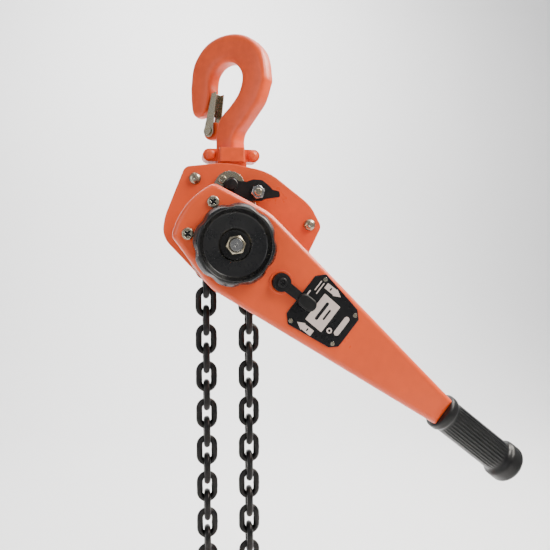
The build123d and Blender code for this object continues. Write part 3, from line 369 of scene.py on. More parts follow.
def finish_material(name, base, accent, roughness, metallic=0.0, coat=0.0, edge=None,
                    edge_radius=0.5, mottle=(30.0, 250.0, 0.5), mottle_strength=0.35,
                    grain=900.0, grain_height=0.02, relief=60.0, relief_height=0.0,
                    edge_span=(0.08, 0.35), rough_span=0.12, specular=0.5):
    """A surface finish: mottled colour, recoloured edges (wear, and on the handwheel also a
    painted highlight), fine grain and a rounded-edge normal.
    """
    material, tree, shader, where = new_material(name)
    bevel = tree.add("ShaderNodeBevel", samples=4)
    bevel.inputs["Radius"].default_value = edge_radius * MM
    mottling = tree.add("ShaderNodeGroup", node_tree=mottle_group())
    tree.link(where, mottling.inputs["Vector"])
    mottling.inputs["Large"].default_value = mottle[0]
    mottling.inputs["Small"].default_value = mottle[1]
    mottling.inputs["Share"].default_value = mottle[2]
    cloud = mottling.outputs["Value"]
    colour = tree.mix(tree.math("MULTIPLY", cloud, mottle_strength), base, accent)
    rough = tree.math("ADD", roughness - rough_span / 2,
                      tree.math("MULTIPLY", cloud, rough_span))
    shader.inputs["Metallic"].default_value = metallic
    shader.inputs["Specular IOR Level"].default_value = specular
    if edge:
        rubbing_and_highlight = tree.add("ShaderNodeGroup", node_tree=edge_rubbing_and_highlight_group())
        tree.link(where, rubbing_and_highlight.inputs["Vector"])
        tree.link(bevel.outputs["Normal"], rubbing_and_highlight.inputs["Rounded"])
        rubbing_and_highlight.inputs["Start"].default_value = edge_span[0]
        rubbing_and_highlight.inputs["End"].default_value = edge_span[1]
        # edge colour over the mask: wear, and on the handwheel also a painted highlight
        colour = tree.mix(rubbing_and_highlight.outputs["Mask"], colour, edge)
    tree.link(colour, shader.inputs["Base Color"])
    tree.link(rough, shader.inputs["Roughness"])
    if coat:
        shader.inputs["Coat Weight"].default_value = coat
        shader.inputs["Coat Roughness"].default_value = 0.12
    height = tree.math("MULTIPLY", tree.noise(where, grain), grain_height)
    if relief_height:
        height = tree.math("ADD", height,
                           tree.math("MULTIPLY", tree.noise(where, relief), relief_height))
    bump = tree.add("ShaderNodeBump")
    bump.inputs["Strength"].default_value = 1.0
    bump.inputs["Distance"].default_value = MM
    tree.link(height, bump.inputs["Height"])
    tree.link(bevel.outputs["Normal"], bump.inputs["Normal"])
    tree.link(bump.outputs["Normal"], shader.inputs["Normal"])
    return material


def colours():
    """The user's colour settings."""
    return bpy.context.scene.hoist_colours


def orange_enamel():
    """Sprayed orange enamel with orange peel, faint dust shading and rubbed edges."""
    base = tuple(colours().orange)
    dark = tuple(c * 0.72 for c in base)
    light = tuple(min(1.0, c * 1.1 + 0.05) for c in base)
    return finish_material("Orange enamel", base, dark, 0.32, coat=0.3, specular=0.4, edge=light,
                           edge_radius=0.9, edge_span=(0.12, 0.7), mottle=(14.0, 120.0, 0.35),
                           mottle_strength=0.35, grain=420.0, grain_height=0.012,
                           relief=75.0, relief_height=0.05)


def forged_enamel():
    """The same enamel over a forging, so its surface is more uneven."""
    base = tuple(colours().orange)
    dark = tuple(c * 0.66 for c in base)
    light = tuple(min(1.0, c * 1.1 + 0.05) for c in base)
    return finish_material("Enamel on forging", base, dark, 0.4, coat=0.1, specular=0.35,
                           edge=light, edge_radius=0.9, edge_span=(0.15, 0.8),
                           mottle=(22.0, 160.0, 0.45), mottle_strength=0.5, grain=380.0,
                           grain_height=0.03, relief=55.0, relief_height=0.16)


def blackened_chain():
    """Heat-treated black chain: dark scale with rubbed, greyer high spots."""
    return finish_material("Blackened chain", (0.012, 0.012, 0.013), (0.035, 0.031, 0.028), 0.36,
                           metallic=0.75, edge=(0.09, 0.09, 0.09), mottle=(80.0, 600.0, 0.5),
                           mottle_strength=0.8, grain=1500.0, grain_height=0.03,
                           relief=200.0, relief_height=0.05)


def black_paint():
    """Satin black paint on steel pressings and castings."""
    return finish_material("Black paint", (0.004, 0.004, 0.0042), (0.01, 0.0095, 0.009), 0.42,
                           specular=0.3, edge=(0.07, 0.065, 0.06), edge_span=(0.2, 0.8),
                           mottle=(60.0, 400.0, 0.5), mottle_strength=0.8, grain=700.0,
                           grain_height=0.03, relief=110.0, relief_height=0.05)


def wheel_black():
    """Black moulded handwheel with a slight sheen on its rounded lips. Its lighter edge colour is
    partly wear and partly a painted highlight on the lip.
    """
    return finish_material("Wheel black", (0.005, 0.005, 0.0052), (0.011, 0.0105, 0.01), 0.3,
                           # lighter edges: partly wear, partly a painted highlight on the lip
                           edge=(0.1, 0.098, 0.095), edge_span=(0.22, 0.85),
                           mottle=(60.0, 400.0, 0.5), mottle_strength=0.8, grain=700.0,
                           grain_height=0.02, relief=120.0, relief_height=0.04)


def zinc_plate():
    """Zinc plating with a warm yellow passivation that comes and goes."""
    return finish_material("Zinc plate", (0.40, 0.37, 0.29), (0.30, 0.22, 0.10), 0.26,
                           metallic=0.95, edge=(0.78, 0.76, 0.7), mottle=(110.0, 900.0, 0.4),
                           mottle_strength=0.6, grain=1600.0, grain_height=0.02,
                           relief=260.0, relief_height=0.03)


def machined_steel():
    """Turned and ground steel with a thin film of oil."""
    return finish_material("Machined steel", (0.36, 0.355, 0.345), (0.24, 0.23, 0.215), 0.27,
                           metallic=1.0, edge=(0.6, 0.6, 0.58), mottle=(90.0, 700.0, 0.5),
                           mottle_strength=0.6, grain=2000.0, grain_height=0.015)


def grip_rubber():
    """Moulded black rubber with a fine matt grain and dusty high spots."""
    return finish_material("Grip rubber", (0.005, 0.005, 0.0052), (0.012, 0.0115, 0.011), 0.36,
                           specular=0.35, edge=(0.05, 0.05, 0.05), edge_span=(0.25, 0.9),
                           mottle=(50.0, 500.0, 0.5), mottle_strength=0.8, grain=1400.0,
                           grain_height=0.05, relief=160.0, relief_height=0.04)


def friction_lining():
    """Pressed brown-grey brake lining with light and dark fibres."""
    return finish_material("Friction lining", (0.10, 0.075, 0.055), (0.035, 0.03, 0.026), 0.85,
                           mottle=(400.0, 1800.0, 0.5), mottle_strength=0.9, grain=2500.0,
                           grain_height=0.06)


def bronze():
    """Sintered bronze."""
    return finish_material("Bronze bush", (0.52, 0.31, 0.12), (0.33, 0.19, 0.08), 0.38,
                           metallic=1.0, mottle=(200.0, 1200.0, 0.5), grain=2200.0,
                           grain_height=0.03)


def printed_silver():
    """The pale printed field of the rating plate."""
    return finish_material("Printed silver", (0.80, 0.66, 0.60), (0.70, 0.57, 0.52), 0.5,
                           metallic=0.55, mottle=(60.0, 500.0, 0.4), grain=1500.0,
                           grain_height=0.01)


def enamel_black():
    """The rating plate's black enamelled face."""
    return finish_material("Black enamel plate", (0.005, 0.005, 0.0055),
                           (0.01, 0.0095, 0.0095), 0.3, specular=0.3, edge=(0.3, 0.3, 0.29),
                           edge_span=(0.15, 0.5), mottle=(40.0, 300.0, 0.4), grain=900.0,
                           grain_height=0.008)


MAKERS = {
    "orange": orange_enamel, "forged": forged_enamel, "chain": blackened_chain,
    "black": black_paint, "wheel": wheel_black, "zinc": zinc_plate,
    "steel": machined_steel, "rubber": grip_rubber, "lining": friction_lining,
    "bronze": bronze, "silver": printed_silver, "enamel": enamel_black,
}
MADE = {}


def finish(name):
    """The finish of that name, made the first time it is asked for."""
    if name not in MADE:
        MADE[name] = MAKERS[name]()
    return MADE[name]


def paint(obj, name):
    """Puts a finish on every material slot of an object."""
    if not obj.material_slots:
        obj.data.materials.append(finish(name))
    for slot in obj.material_slots:
        slot.material = finish(name)


NODE_FINISH = {
    "orange": ["front_side_plate", "rear_side_plate", "gear_cover", "lever_front_shell",
               "lever_rear_shell"],
    "forged": ["yoke_front", "yoke_rear", "load_block_front", "load_block_rear",
               "yoke_rivets"],
    "black": ["check_pawl", "pawl_knob", "selector_lever", "selector_screw", "handwheel_washer",
              "chain_guide", "chain_stripper"],
    "enamel": ["rating_plate"],
    "zinc": ["stay_bolts", "stay_nuts", "brake_cover", "brake_cover_screws", "gear_cover_screws",
             "top_latch", "load_latch", "top_latch_pin", "load_latch_pin",
             "pawl_stud", "lever_screws", "handwheel_nut",
             "rating_plate_rivets", "load_block_rivets", "pawl_spring",
             "lever_tang"],
    "steel": ["top_pin", "bearing_races", "bearing_balls", "load_sheave", "load_gear",
              "disc_gear_right", "disc_gear_left", "drive_shaft", "friction_hub", "change_gear",
              "ratchet_disc", "change_pawl", "load_chain_pin", "pawl_nut"],
    "lining": ["friction_discs"],
    "bronze": ["ratchet_bush"],
    "chain": ["end_ring"],
}


# ---- settings -----------------------------------------------------------------------
class HoistColours(bpy.types.PropertyGroup):
    """Colours that a user would change."""

    orange: bpy.props.FloatVectorProperty(
        name="Enamel", description="Colour of the painted steel", subtype="COLOR",
        size=3, min=0.0, max=1.0, default=(0.80, 0.088, 0.016))
    floor: bpy.props.FloatVectorProperty(
        name="Floor", description="Colour of the stage", subtype="COLOR",
        size=3, min=0.0, max=1.0, default=(0.93, 0.93, 0.93))


class HoistSizes(bpy.types.PropertyGroup):
    """Sizes of the details that a user would change."""

    scallop_depth: bpy.props.FloatProperty(
        name="Scallop depth", description="Depth of the handwheel's finger scallops",
        default=2.2 * MM, min=0.0, max=5 * MM, unit="LENGTH")
    rib_height: bpy.props.FloatProperty(
        name="Rib height", description="Height of the ribs along the grip",
        default=0.9 * MM, min=0.0, max=2 * MM, unit="LENGTH")
    weld_bulge: bpy.props.FloatProperty(
        name="Weld bulge", description="How far a chain link's weld stands proud",
        default=0.25 * MM, min=0.0, max=0.6 * MM, unit="LENGTH")
    wire: bpy.props.FloatProperty(
        name="Chain wire", description="Diameter of the chain's wire",
        default=WIRE * MM, min=4 * MM, max=WIRE * MM, unit="LENGTH")


def sizes():
    """The user's size settings."""
    return bpy.context.scene.hoist_sizes


# ---- hooks --------------------------------------------------------------------------
def hook_grid(origin, across, up):
    """A forged hook: rounded sections carried between its inner and outer edges.

    Each section is a superellipse whose long axis joins a point of the inner edge to one of
    the outer edge; both edges are smooth curves through the stations of the forging.
    """
    bowl = np.radians([0, 30, 60, 90, 120, 150, 178])
    outer_r = np.array([50, 51.6, 51.2, 50, 50.6, 49.8, 48])
    inner = [(-12.9, -93), (-12.9, -88), (-13.2, -82), (-13.2, -74), (-12.5, -66),
             (-6.5, -57), (5, -47), (15.5, -35)]
    outer = [(12.9, -93), (12.9, -88), (13.2, -82), (16.5, -75), (24, -67),
             (33, -57), (42.5, -45), (48.5, -29)]
    inner += [(BOWL_R * math.cos(a), BOWL_R * math.sin(a) - BOWL_R) for a in bowl]
    outer += [(r * math.cos(a), r * math.sin(a) - BOWL_R) for r, a in zip(outer_r, bowl)]
    inner += [(-20.6, -29), (-23.0, -38), (-27.5, -47.5), (-34.0, -53.2)]
    outer += [(-48.4, -31), (-48.0, -41), (-46.2, -50), (-42.5, -54.2)]
    half_thick = ([13, 13, 12.6, 11.5, 10.6, 10.4, 10.5, 10.5] + [10.5] * len(bowl)
                  + [10.2, 9.6, 8.6, 5.5])
    count = 150           # sections along the hook
    power = 0.45          # squareness of a section, where 1 is an ellipse
    end_size = 0.02       # how far the hidden start closes
    inner_line = smooth_path(inner, count)
    outer_line = smooth_path(outer, count)
    thick = smooth_path(np.stack([half_thick, half_thick], axis=1), count)[:, 0]
    centre = (inner_line + outer_line) / 2
    half = (outer_line - inner_line) / 2
    turn = np.linspace(0, 2 * math.pi, 40, endpoint=False)
    wide = np.sign(np.cos(turn)) * np.abs(np.cos(turn)) ** power
    deep = np.sign(np.sin(turn)) * np.abs(np.sin(turn)) ** power
    flat = centre[:, None] + half[:, None] * wide[None, :, None]
    normal = np.cross(across, up)
    grid = (origin + flat[..., :1] * MM * across + flat[..., 1:] * MM * up
            + (thick[:, None] * deep[None, :])[..., None] * MM * normal)
    start_mid = grid[:1].mean(axis=1, keepdims=True)
    start = start_mid + (grid[:1] - start_mid) * end_size
    tip_mid = grid[-1:].mean(axis=1, keepdims=True)
    tip_out = (centre[-1] - centre[-3]) * 0.25
    tip_out = (tip_out[0] * across + tip_out[1] * up) * MM
    near = tip_mid + tip_out * 0.8 + (grid[-1:] - tip_mid) * 0.6
    tip = tip_mid + tip_out + (grid[-1:] - tip_mid) * 0.03
    return np.concatenate([start, grid, near, tip])


def hook_lug(pivot, across, up):
    """The latch lug: a plate with rounded rims and a bore, stretched towards the shank.

    The rim's radius is constant on the open side and grows with the square of the cosine of
    the angle on the shank's side, where the lug runs into the forging.
    """
    bore, rim, half, stretch = 2.6, 9.5, 4.3, 6.0
    profile = rounded_loop([(bore, -half), (rim, -half), (rim, half), (bore, half)], 1.4)
    turn = np.linspace(0, 2 * math.pi, ROUND, endpoint=False)
    share = (profile[:, :1] - bore) / (rim - bore)
    radius = profile[:, :1] + share * stretch * np.clip(np.cos(turn), 0, 1) ** 2
    normal = np.cross(across, up)
    return pivot + MM * ((radius * np.cos(turn))[..., None] * across
                         + (radius * np.sin(turn))[..., None] * up
                         + (profile[:, 1:] + 0 * turn)[..., None] * normal)


def hook_neck(origin, across, up):
    """The hook's thin neck and its round collar, turned about the shank's line."""
    profile = np.array([(0.05, -92.0), (8.0, -92.0), (8.0, -110.5), (11.5, -110.5),
                        (11.5, -117.5), (0.05, -117.5)])
    turn = np.linspace(0, 2 * math.pi, ROUND, endpoint=False)
    radius = profile[:, :1] * MM
    normal = np.cross(across, up)
    return (origin + (radius * np.cos(turn))[..., None] * across
            + (radius * np.sin(turn))[..., None] * normal
            + np.broadcast_to(profile[:, 1:] * MM, (len(profile), ROUND))[..., None] * up)


class HOIST_OT_hooks(bpy.types.Operator):
    """Forged top and load hooks with their latch lugs, and the wire springs of the latches"""

    bl_idname = "hoist.hooks"
    bl_label = "Hooks"

    def execute(self, context):
        """Both hooks, their lugs and necks, and the springs on the latches."""
        load_pivot = joint_pivot("load_latch_pivot")
        top_pivot = joint_pivot("top_latch_pivot")
        top_across = -top_pivot * (1, 1, 0)
        top_across = top_across / np.linalg.norm(top_across)
        setups = (
            ("top_hook", np.zeros(3), top_across, np.array((0.0, 0.0, 1.0)), "top_latch_pivot"),
            ("load_hook", load_pivot + np.array((24.0, 0, -71.0)) * MM,
             np.array((1.0, 0, 0)), np.array((0.0, 0.0, -1.0)), "load_latch_pivot"),
        )
        for name, origin, across, up, pivot in setups:
            body = grid_mesh(name + "_body", hook_grid(origin, across, up), cap_rows=True)
            lug = grid_mesh(name + "_lug", hook_lug(joint_pivot(pivot), across, up),
                            close_rows=True)
            neck = grid_mesh(name + "_neck", hook_neck(origin, across, up), cap_rows=True)
            for obj in (body, lug, neck):
                paint(obj, "forged")
                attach(obj, name)
            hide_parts(name)
            spring = self.latch_spring(name, joint_pivot(pivot), across, up)
            paint(spring, "steel")
            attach(spring, name.replace("hook", "latch"))
        return {"FINISHED"}

    @staticmethod
    def latch_spring(name, pivot, across, up):
        """Two coils round the latch pin, one each side of the lug, with legs up the latch.

        A coil is a helix of constant radius about the pin; its leg leaves it in a straight line.
        """
        normal = np.cross(across, up)
        coil_r, wire_r, steps = 3.2, 0.45, 60
        grids = []
        for sign in (-1, 1):
            turn = np.linspace(4 * math.pi, math.pi, steps)
            shift = np.linspace(5.0, 5.9, steps)[:, None] * sign
            coil = coil_r * (np.cos(turn)[:, None] * across + np.sin(turn)[:, None] * up)
            coil = coil + shift * normal
            bend = coil[-1] + 0.4 * across + 5.0 * up
            leg = bend + np.linspace(0, 1, 12)[:, None] * (6.0 * across + 21.0 * up)
            grids.append(pivot + tube(np.concatenate([coil, leg]), wire_r, 8) * MM)
        return joined(name + "_latch_spring", grids, cap_rows=True)


# ---- chain --------------------------------------------------------------------------
def link_grid(wire_r):
    """One link about the origin: a round wire round a straight-sided loop, with its weld.

    The wire's axis is two straight runs joined by half circles. The wire swells by the weld
    bulge at the middle of one straight run, as the exponential of minus the distance squared.
    """
    bend = LINK_WIDTH / 2 * MM - wire_r
    straight = LINK_INSIDE / 2 * MM + wire_r - bend
    length = 4 * straight + 2 * math.pi * bend
    s = np.linspace(0, length, 56, endpoint=False)
    half_turn = math.pi * bend
    marks = np.cumsum([2 * straight, half_turn, 2 * straight])
    first, second = s < marks[0], (s >= marks[0]) & (s < marks[1])
    third = (s >= marks[1]) & (s < marks[2])
    top = (s - marks[0]) / bend
    low = (s - marks[2]) / bend
    x = np.select([first, second, third], [bend, bend * np.cos(top), -bend], -bend * np.cos(low))
    z = np.select([first, second, third],
                  [-straight + s, straight + bend * np.sin(top), straight - (s - marks[1])],
                  -straight - bend * np.sin(low))
    tangent_x = np.select([first, second, third], [0 * s, -np.sin(top), 0 * s], np.sin(low))
    tangent_z = np.select([first, second, third], [1 + 0 * s, np.cos(top), -1 + 0 * s],
                          -np.cos(low))
    weld_length, clearance = 1.6 * MM, 0.02 * MM
    weld = np.exp(-((s - straight) / weld_length) ** 2)
    radius = wire_r - clearance + sizes().weld_bulge * weld
    turn = np.linspace(0, 2 * math.pi, 18, endpoint=False)
    out_x, out_z = tangent_z, -tangent_x
    gx = x[:, None] + radius[:, None] * np.cos(turn) * out_x[:, None]
    gz = z[:, None] + radius[:, None] * np.cos(turn) * out_z[:, None]
    gy = radius[:, None] * np.sin(turn) + 0 * gx
    return np.stack([gx, gy, gz], axis=-1)


def quarter_turned(grid):
    """The same link turned by a quarter turn about its long axis."""
    return grid[..., [1, 0, 2]] * (-1, 1, 1)


def hung_links(x, first_z, count, link):
    """Links hanging one below the other, each turned against the next."""
    return [(link if i % 2 == 0 else quarter_turned(link)) + (x, 0, first_z - i * PITCH * MM)
            for i in range(count)]


class HOIST_OT_chain(bpy.types.Operator):
    """Welded links: the load strand, the slack strand and those held by the sheave"""

    bl_idname = "hoist.chain"
    bl_label = "Chain"

    def execute(self, context):
        """Two strands counted from their nodes, and the links round the sheave."""
        link = link_grid(sizes().wire / 2)
        offset = joint_pivot("load_chain_swing")[0] - MAIN[0]
        for name, side in (("load_chain", 1), ("slack_chain", -1)):
            low, high = node_ends(name)
            link_length = (LINK_INSIDE + 2 * WIRE) * MM
            first = high[2] - link_length / 2
            count = 1 + round((high[2] - low[2] - link_length) / (PITCH * MM))
            links = hung_links(MAIN[0] + side * offset, first, count, link)
            strand = joined(name + "_links", links, close_rows=True)
            self.settle(strand, name, name)
        held = []
        for i in range(5):
            angle = math.pi * i / 4
            far = (FLAT_LINK_R if i % 2 == 0 else EDGE_LINK_R) * MM
            piece = (quarter_turned(link) if i % 2 == 0 else link) + (far, 0, 0)
            x = piece[..., 0] * math.cos(angle) - piece[..., 2] * math.sin(angle)
            z = piece[..., 0] * math.sin(angle) + piece[..., 2] * math.cos(angle)
            held.append(np.stack([x, piece[..., 1], z], axis=-1) + MAIN)
        for side in (-1, 1):
            held += hung_links(MAIN[0] + side * offset, MAIN[2] - PITCH * MM, 2, link)
        self.settle(joined("sheave_links", held, close_rows=True), "frame", "chain_on_sheave")
        return {"FINISHED"}

    @staticmethod
    def settle(obj, body, node):
        """Finish, body and replaced node of one stretch of chain."""
        paint(obj, "chain")
        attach(obj, body)
        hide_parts(node)


# ---- handwheel ----------------------------------------------------------------------
class HOIST_OT_handwheel(bpy.types.Operator):
    """Scalloped handwheel with a raised lip and a dished face"""

    bl_idname = "hoist.handwheel"
    bl_label = "Handwheel"

    def execute(self, context):
        """A profile turned about the main axis, with its rim dipped by a raised cosine."""
        low, high = node_ends("handwheel")
        back, face = high[1] / MM, low[1] / MM
        profile = rounded_loop(
            [(13.2, back), (38.8, back), (41.4, back - 2.6), (41.4, back - 8.2),
             (38.6, face + 1.6), (37.2, face), (35.2, face), (34.0, face + 2.4),
             (31.6, back - 7.8), (24.0, back - 7.0), (16.2, back - 6.0), (14.8, back - 4.2),
             (7.3, back - 4.1), (7.3, back - 2.1), (13.2, back - 2.1)], 1.3, steps=6)
        turn = np.linspace(0, 2 * math.pi, 256, endpoint=False)
        radius = profile[:, :1] * MM
        first_scallop, dip_start, dip_width = math.radians(9), 35.6, 4.0
        wave = 0.5 + 0.5 * np.cos(SCALLOPS * (turn - first_scallop))
        dip = wave ** 3 * sizes().scallop_depth
        share = np.clip((profile[:, :1] - dip_start) / dip_width, 0, 1) ** 1.3
        radius = radius - share * dip
        x = MAIN[0] + radius * np.cos(turn)
        z = MAIN[2] + radius * np.sin(turn)
        y = np.broadcast_to(profile[:, 1:] * MM, x.shape)
        wheel = grid_mesh("handwheel_body", np.stack([x, y, z], axis=-1), close_rows=True)
        paint(wheel, "wheel")
        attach(wheel, "drive_shaft")
        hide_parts("handwheel")
        return {"FINISHED"}


# ---- grip ---------------------------------------------------------------------------
class HOIST_OT_grip(bpy.types.Operator):
    """Moulded rubber grip with a collar, lengthwise ribs and a flanged end"""

    bl_idname = "hoist.grip"
    bl_label = "Grip"

    def execute(self, context):
        """A profile turned about the lever, with ribs from a clipped cosine."""
        start, end = GRIP_START, GRIP_END
        line = rounded_loop(
            [(start, 11.1), (start, 18.6), (start + 1.5, 20.4), (start + 8.5, 20.4),
             (start + 11.5, 18.4), (start + 40, 18.2), (end - 22, 18.2), (end - 18, 21.9),
             (end - 4.0, 21.9), (end, 18.2), (end, 0.05)], 2.2, steps=6, closed=False)
        dense = []
        for first, second in zip(line[:-1], line[1:]):
            steps = max(1, int(np.linalg.norm(second - first) / 3.0))
            share = np.linspace(0, 1, steps, endpoint=False)[:, None]
            dense.append(first + (second - first) * share)
        profile = np.concatenate(dense + [line[-1:]])
        turn = np.linspace(0, 2 * math.pi, 288, endpoint=False)
        along, radius = profile[:, :1], profile[:, 1:]
        fade = (np.clip((along - start - 13) / 5, 0, 1) * np.clip((end - 25 - along) / 5, 0, 1))
        ribs, ribbed_half = 32, math.radians(66)
        spread = np.clip((np.cos(turn) - math.cos(ribbed_half)) / 0.12, 0, 1)
        rib = np.clip(np.cos(ribs * turn) * 1.6, 0, 1)
        radius = radius + fade * spread * rib * sizes().rib_height / MM
        mid = MAIN * (1, 0, 1) + np.array((0, GRIP_Y * MM, 0))
        grid = (mid + (along * MM)[..., None] * LEVER_DIR
                + (radius * MM * np.cos(turn))[..., None] * FRONT
                + (radius * MM * np.sin(turn))[..., None] * LEVER_SIDE)
        grip = grid_mesh("lever_grip_rubber", grid, cap_rows=True)
        paint(grip, "rubber")
        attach(grip, "lever")
        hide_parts("lever_grip")
        return {"FINISHED"}


# ---- rating plate -------------------------------------------------------------------
def slot_outline(length, width, centre, turn=0.0, steps=10):
    """A rounded bar: two half circles joined by straight sides."""
    a = np.linspace(-math.pi / 2, math.pi / 2, steps)
    run = (length - width) / 2
    right = np.stack([run + width / 2 * np.cos(a), width / 2 * np.sin(a)], axis=1)
    outline = np.concatenate([right, -right])
    c, s = math.cos(turn), math.sin(turn)
    return outline @ np.array(((c, s), (-s, c))) + centre


def tag_outline(ends, sides):
    """A tag with square shoulders that ends in a plain arrow head towards its second end."""
    start, tip = ends
    low, high = sides
    shoulder = start + (tip - start) * 0.6
    middle, wing = (low + high) / 2, (high - low) * 0.14
    return np.array([(start, low), (shoulder, low), (shoulder, low - wing), (tip, middle),
                     (shoulder, high + wing), (shoulder, high), (start, high)])


class HOIST_OT_rating_plate(bpy.types.Operator):
    """Printed fields of the rating plate: a field, plain bars, a ring and two arrows"""

    bl_idname = "hoist.rating_plate"
    bl_label = "Rating plate"

    def execute(self, context):
        """Flat prisms for the pale fields, and dark ones on top of them."""
        face = node_ends("rating_plate")[0][1]
        depth = PRINT_DEPTH * MM
        pale = {
            "plate_field": rounded_loop([(103, -14), (125, -14.5), (125, 18), (103, 19)], 1.0),
            "plate_tag_down": tag_outline((99, 119), (23, 29.5)),
            "plate_tag_up": tag_outline((118, 98), (-24.5, -18)),
            "plate_bar": slot_outline(23, 6.0, (138.5, 3.5), math.pi / 2),
            "plate_ring": slot_outline(6.02, 6.0, (130.8, -8.0)),
            "plate_line_a": slot_outline(17, 1.5, (89.0, 4.0), math.pi / 2, 5),
            "plate_line_b": slot_outline(12, 1.2, (92.5, 21.0), math.pi / 2, 5),
            "plate_line_c": slot_outline(14, 1.2, (96.0, 20.0), math.pi / 2, 5),
        }
        dark = {
            "plate_mark_a": slot_outline(22, 3.4, (112.0, 3.0), math.pi / 2, 6),
            "plate_mark_b": slot_outline(13, 2.2, (118.5, 3.0), math.pi / 2, 6),
            "plate_tag_mark_a": slot_outline(3.6, 1.6, (105.5, 26.2), math.pi / 2, 6),
            "plate_tag_mark_b": slot_outline(3.6, 1.6, (111.5, -21.2), math.pi / 2, 6),
            "plate_ring_mark": slot_outline(3.02, 3.0, (130.8, -8.0)),
        }
        for fields, lift, look, row_slot in ((pale, face, "silver", "zinc_plate"),
                                             (dark, face - depth, "enamel", "black_oxide")):
            for name, outline in fields.items():
                piece = prism(name, outline, lift, depth)
                paint(piece, look)
                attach(piece, "lever")
        return {"FINISHED"}


class HOIST_OT_screw_recess_shade(bpy.types.Operator):
    """Painted shade: flat black crosses at the bottom of the cross recesses of the lever's front
    screws, standing in for the shadow in the recesses
    """

    bl_idname = "hoist.screw_grime"
    bl_label = "Screw recess shade"

    def execute(self, context):
        """A flat black cross at the bottom of each recess, painted shade for the recess's shadow.
        """
        recess_depth, fill = 1.9 * MM, 0.7 * MM
        bottom = node_ends("lever_screws")[0][1] + recess_depth
        arm, half = 3.6, 0.95
        cross = np.array([(arm, half), (half, half), (half, arm), (-half, arm), (-half, half),
                          (-arm, half), (-arm, -half), (-half, -half), (-half, -arm),
                          (half, -arm), (half, -half), (arm, -half)])
        # painted shade: a black cross fills the bottom of each screw recess, where the recess lies
        # in shadow
        for name, place in (("screw_recess_shade_upper", (-42.5, 20.0)),
                            ("screw_recess_shade_lower", (-42.5, -20.0))):
            piece = prism(name, cross + place, bottom, fill)
            paint(piece, "black")
            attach(piece, "lever")
        return {"FINISHED"}


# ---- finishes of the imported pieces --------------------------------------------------
class HOIST_OT_finishes(bpy.types.Operator):
    """Enamel, plating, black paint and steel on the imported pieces"""

    bl_idname = "hoist.finishes"
    bl_label = "Finishes"

    def execute(self, context):
        """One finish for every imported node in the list."""
        for name, nodes in NODE_FINISH.items():
            for node in nodes:
                paint(frame["nodes"][node], name)
        return {"FINISHED"}


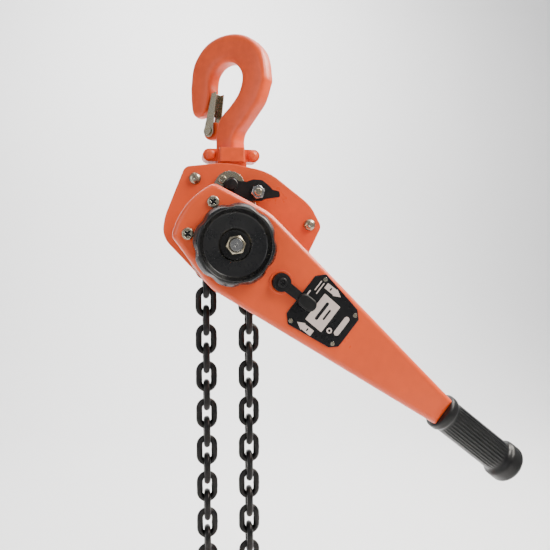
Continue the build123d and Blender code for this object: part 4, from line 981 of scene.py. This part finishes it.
# ---- stage --------------------------------------------------------------------------
class HOIST_OT_stage(bpy.types.Operator):
    """Pale floor with a curved back, soft lights and the camera"""

    bl_idname = "hoist.stage"
    bl_label = "Stage"

    def execute(self, context):
        """Floor, then lights, then camera."""
        self.floor()
        self.lights()
        self.camera()
        return {"FINISHED"}

    @staticmethod
    def floor():
        """A floor that rises into a wall by a quarter circle."""
        gap, wall, bend, side, front, rise = 0.12, 2.2, 0.9, 4.5, -3.5, 4.0
        low = CAD_BOX[0][2] - gap
        a = np.linspace(0, math.pi / 2, 24)
        y = np.concatenate([[front], wall - bend + bend * np.sin(a), [wall]])
        z = np.concatenate([[low], low + bend - bend * np.cos(a), [low + rise]])
        x = np.array([-side, side])
        grid = np.stack([np.broadcast_to(x, (len(y), 2)), np.broadcast_to(y[:, None], (len(y), 2)),
                         np.broadcast_to(z[:, None], (len(y), 2))], axis=-1)
        stage = grid_mesh("stage_floor", grid, close_cols=False)
        material, tree, shader, where = new_material("Stage")
        base = tuple(colours().floor)
        tone = tree.mix(tree.noise(where, 3.0), base, tuple(c * 0.97 for c in base))
        tree.link(tone, shader.inputs["Base Color"])
        shader.inputs["Roughness"].default_value = 0.8
        stage.data.materials.append(material)

    @staticmethod
    def lights():
        """A pale world, four soft lights round the hoist and one for the wall.

        The world is a little brighter where it is seen directly than where it lights.
        """
        world = bpy.data.worlds.new("Soft room")
        world.use_nodes = True
        background = world.node_tree.nodes["Background"]
        background.inputs["Color"].default_value = (0.93, 0.95, 1.0, 1.0)
        room, seen_extra = 0.42, 0.4
        sky = Tree(world.node_tree)
        seen = sky.add("ShaderNodeLightPath").outputs["Is Camera Ray"]
        sky.link(sky.math("ADD", room, sky.math("MULTIPLY", seen, seen_extra)),
                 background.inputs["Strength"])
        bpy.context.scene.world = world
        centre = np.array((0.06, 0.0, -0.22))
        wall = np.array((0.1, 2.2, -0.3))
        setups = (("key", (1.0, -0.7, 0.85), 0.8, 30.0, (1.0, 0.96, 0.9), centre),
                  ("fill", (-1.3, -1.1, 0.1), 1.4, 9.0, (0.97, 0.98, 1.0), centre),
                  ("top", (0.15, 0.1, 1.4), 1.1, 16.0, (1.0, 0.98, 0.95), centre),
                  ("rim", (0.95, 0.15, 0.65), 0.7, 24.0, (1.0, 0.95, 0.86), centre),
                  ("backdrop", (0.1, 0.8, 1.0), 1.8, 80.0, (1.0, 1.0, 1.0), wall))
        for name, place, size, power, tint, target in setups:
            light = bpy.data.lights.new(name, "AREA")
            light.shape = "DISK"
            light.size = size
            light.energy = power
            light.color = tint
            obj = bpy.data.objects.new(name, light)
            bpy.context.scene.collection.objects.link(obj)
            obj.location = place
            obj.visible_camera = False
            aim(obj, target)

    @staticmethod
    def camera():
        """A camera at the height of the main axis, a little to the left of the hoist."""
        lens = bpy.data.cameras.new("camera")
        lens.sensor_width = 36.0
        lens.lens = 36.65
        camera = bpy.data.objects.new("camera", lens)
        bpy.context.scene.collection.objects.link(camera)
        from_axis, dip, swing = np.array((-61.6, -625.1, 0.0)), 3.07, -10.5
        camera.location = MAIN + from_axis * MM
        camera.rotation_euler = (math.radians(90 - dip), 0, math.radians(swing))
        bpy.context.scene.camera = camera


def aim(obj, target):
    """Turns an object so that its -Z axis looks at a point."""
    way = np.asarray(target) - np.array(obj.location)
    flat = math.hypot(way[0], way[1])
    obj.rotation_euler = (math.atan2(flat, -way[2]), 0, math.atan2(way[0], -way[1]) + math.pi)


# ---- panel and registration ---------------------------------------------------------
OPERATORS = (HOIST_OT_finishes, HOIST_OT_hooks, HOIST_OT_chain, HOIST_OT_handwheel, HOIST_OT_grip,
             HOIST_OT_rating_plate, HOIST_OT_screw_recess_shade, HOIST_OT_stage)


class HOIST_PT_panel(bpy.types.Panel):
    """Lists the hoist's settings and its pieces"""

    bl_idname = "HOIST_PT_panel"
    bl_label = "Lever chain hoist"
    bl_space_type = "VIEW_3D"
    bl_region_type = "UI"
    bl_category = "Hoist"

    def draw(self, context):
        """Settings first, then one button for each piece."""
        for settings in (context.scene.hoist_colours, context.scene.hoist_sizes):
            for key in type(settings).__annotations__:
                self.layout.prop(settings, key)
        for operator in OPERATORS:
            self.layout.operator(operator.bl_idname)


CLASSES = (HoistColours, HoistSizes, *OPERATORS, HOIST_PT_panel)


def register():
    """Registers the classes and the scene's settings."""
    for cls in CLASSES:
        bpy.utils.register_class(cls)
    bpy.types.Scene.hoist_colours = bpy.props.PointerProperty(type=HoistColours)
    bpy.types.Scene.hoist_sizes = bpy.props.PointerProperty(type=HoistSizes)


def unregister():
    """Removes what register added."""
    del bpy.types.Scene.hoist_sizes
    del bpy.types.Scene.hoist_colours
    for cls in reversed(CLASSES):
        bpy.utils.unregister_class(cls)


def main():
    """Builds every piece in order."""
    register()
    for operator in OPERATORS:
        group, name = operator.bl_idname.split(".")
        getattr(getattr(bpy.ops, group), name)()


if __name__ == "__main__":
    main()
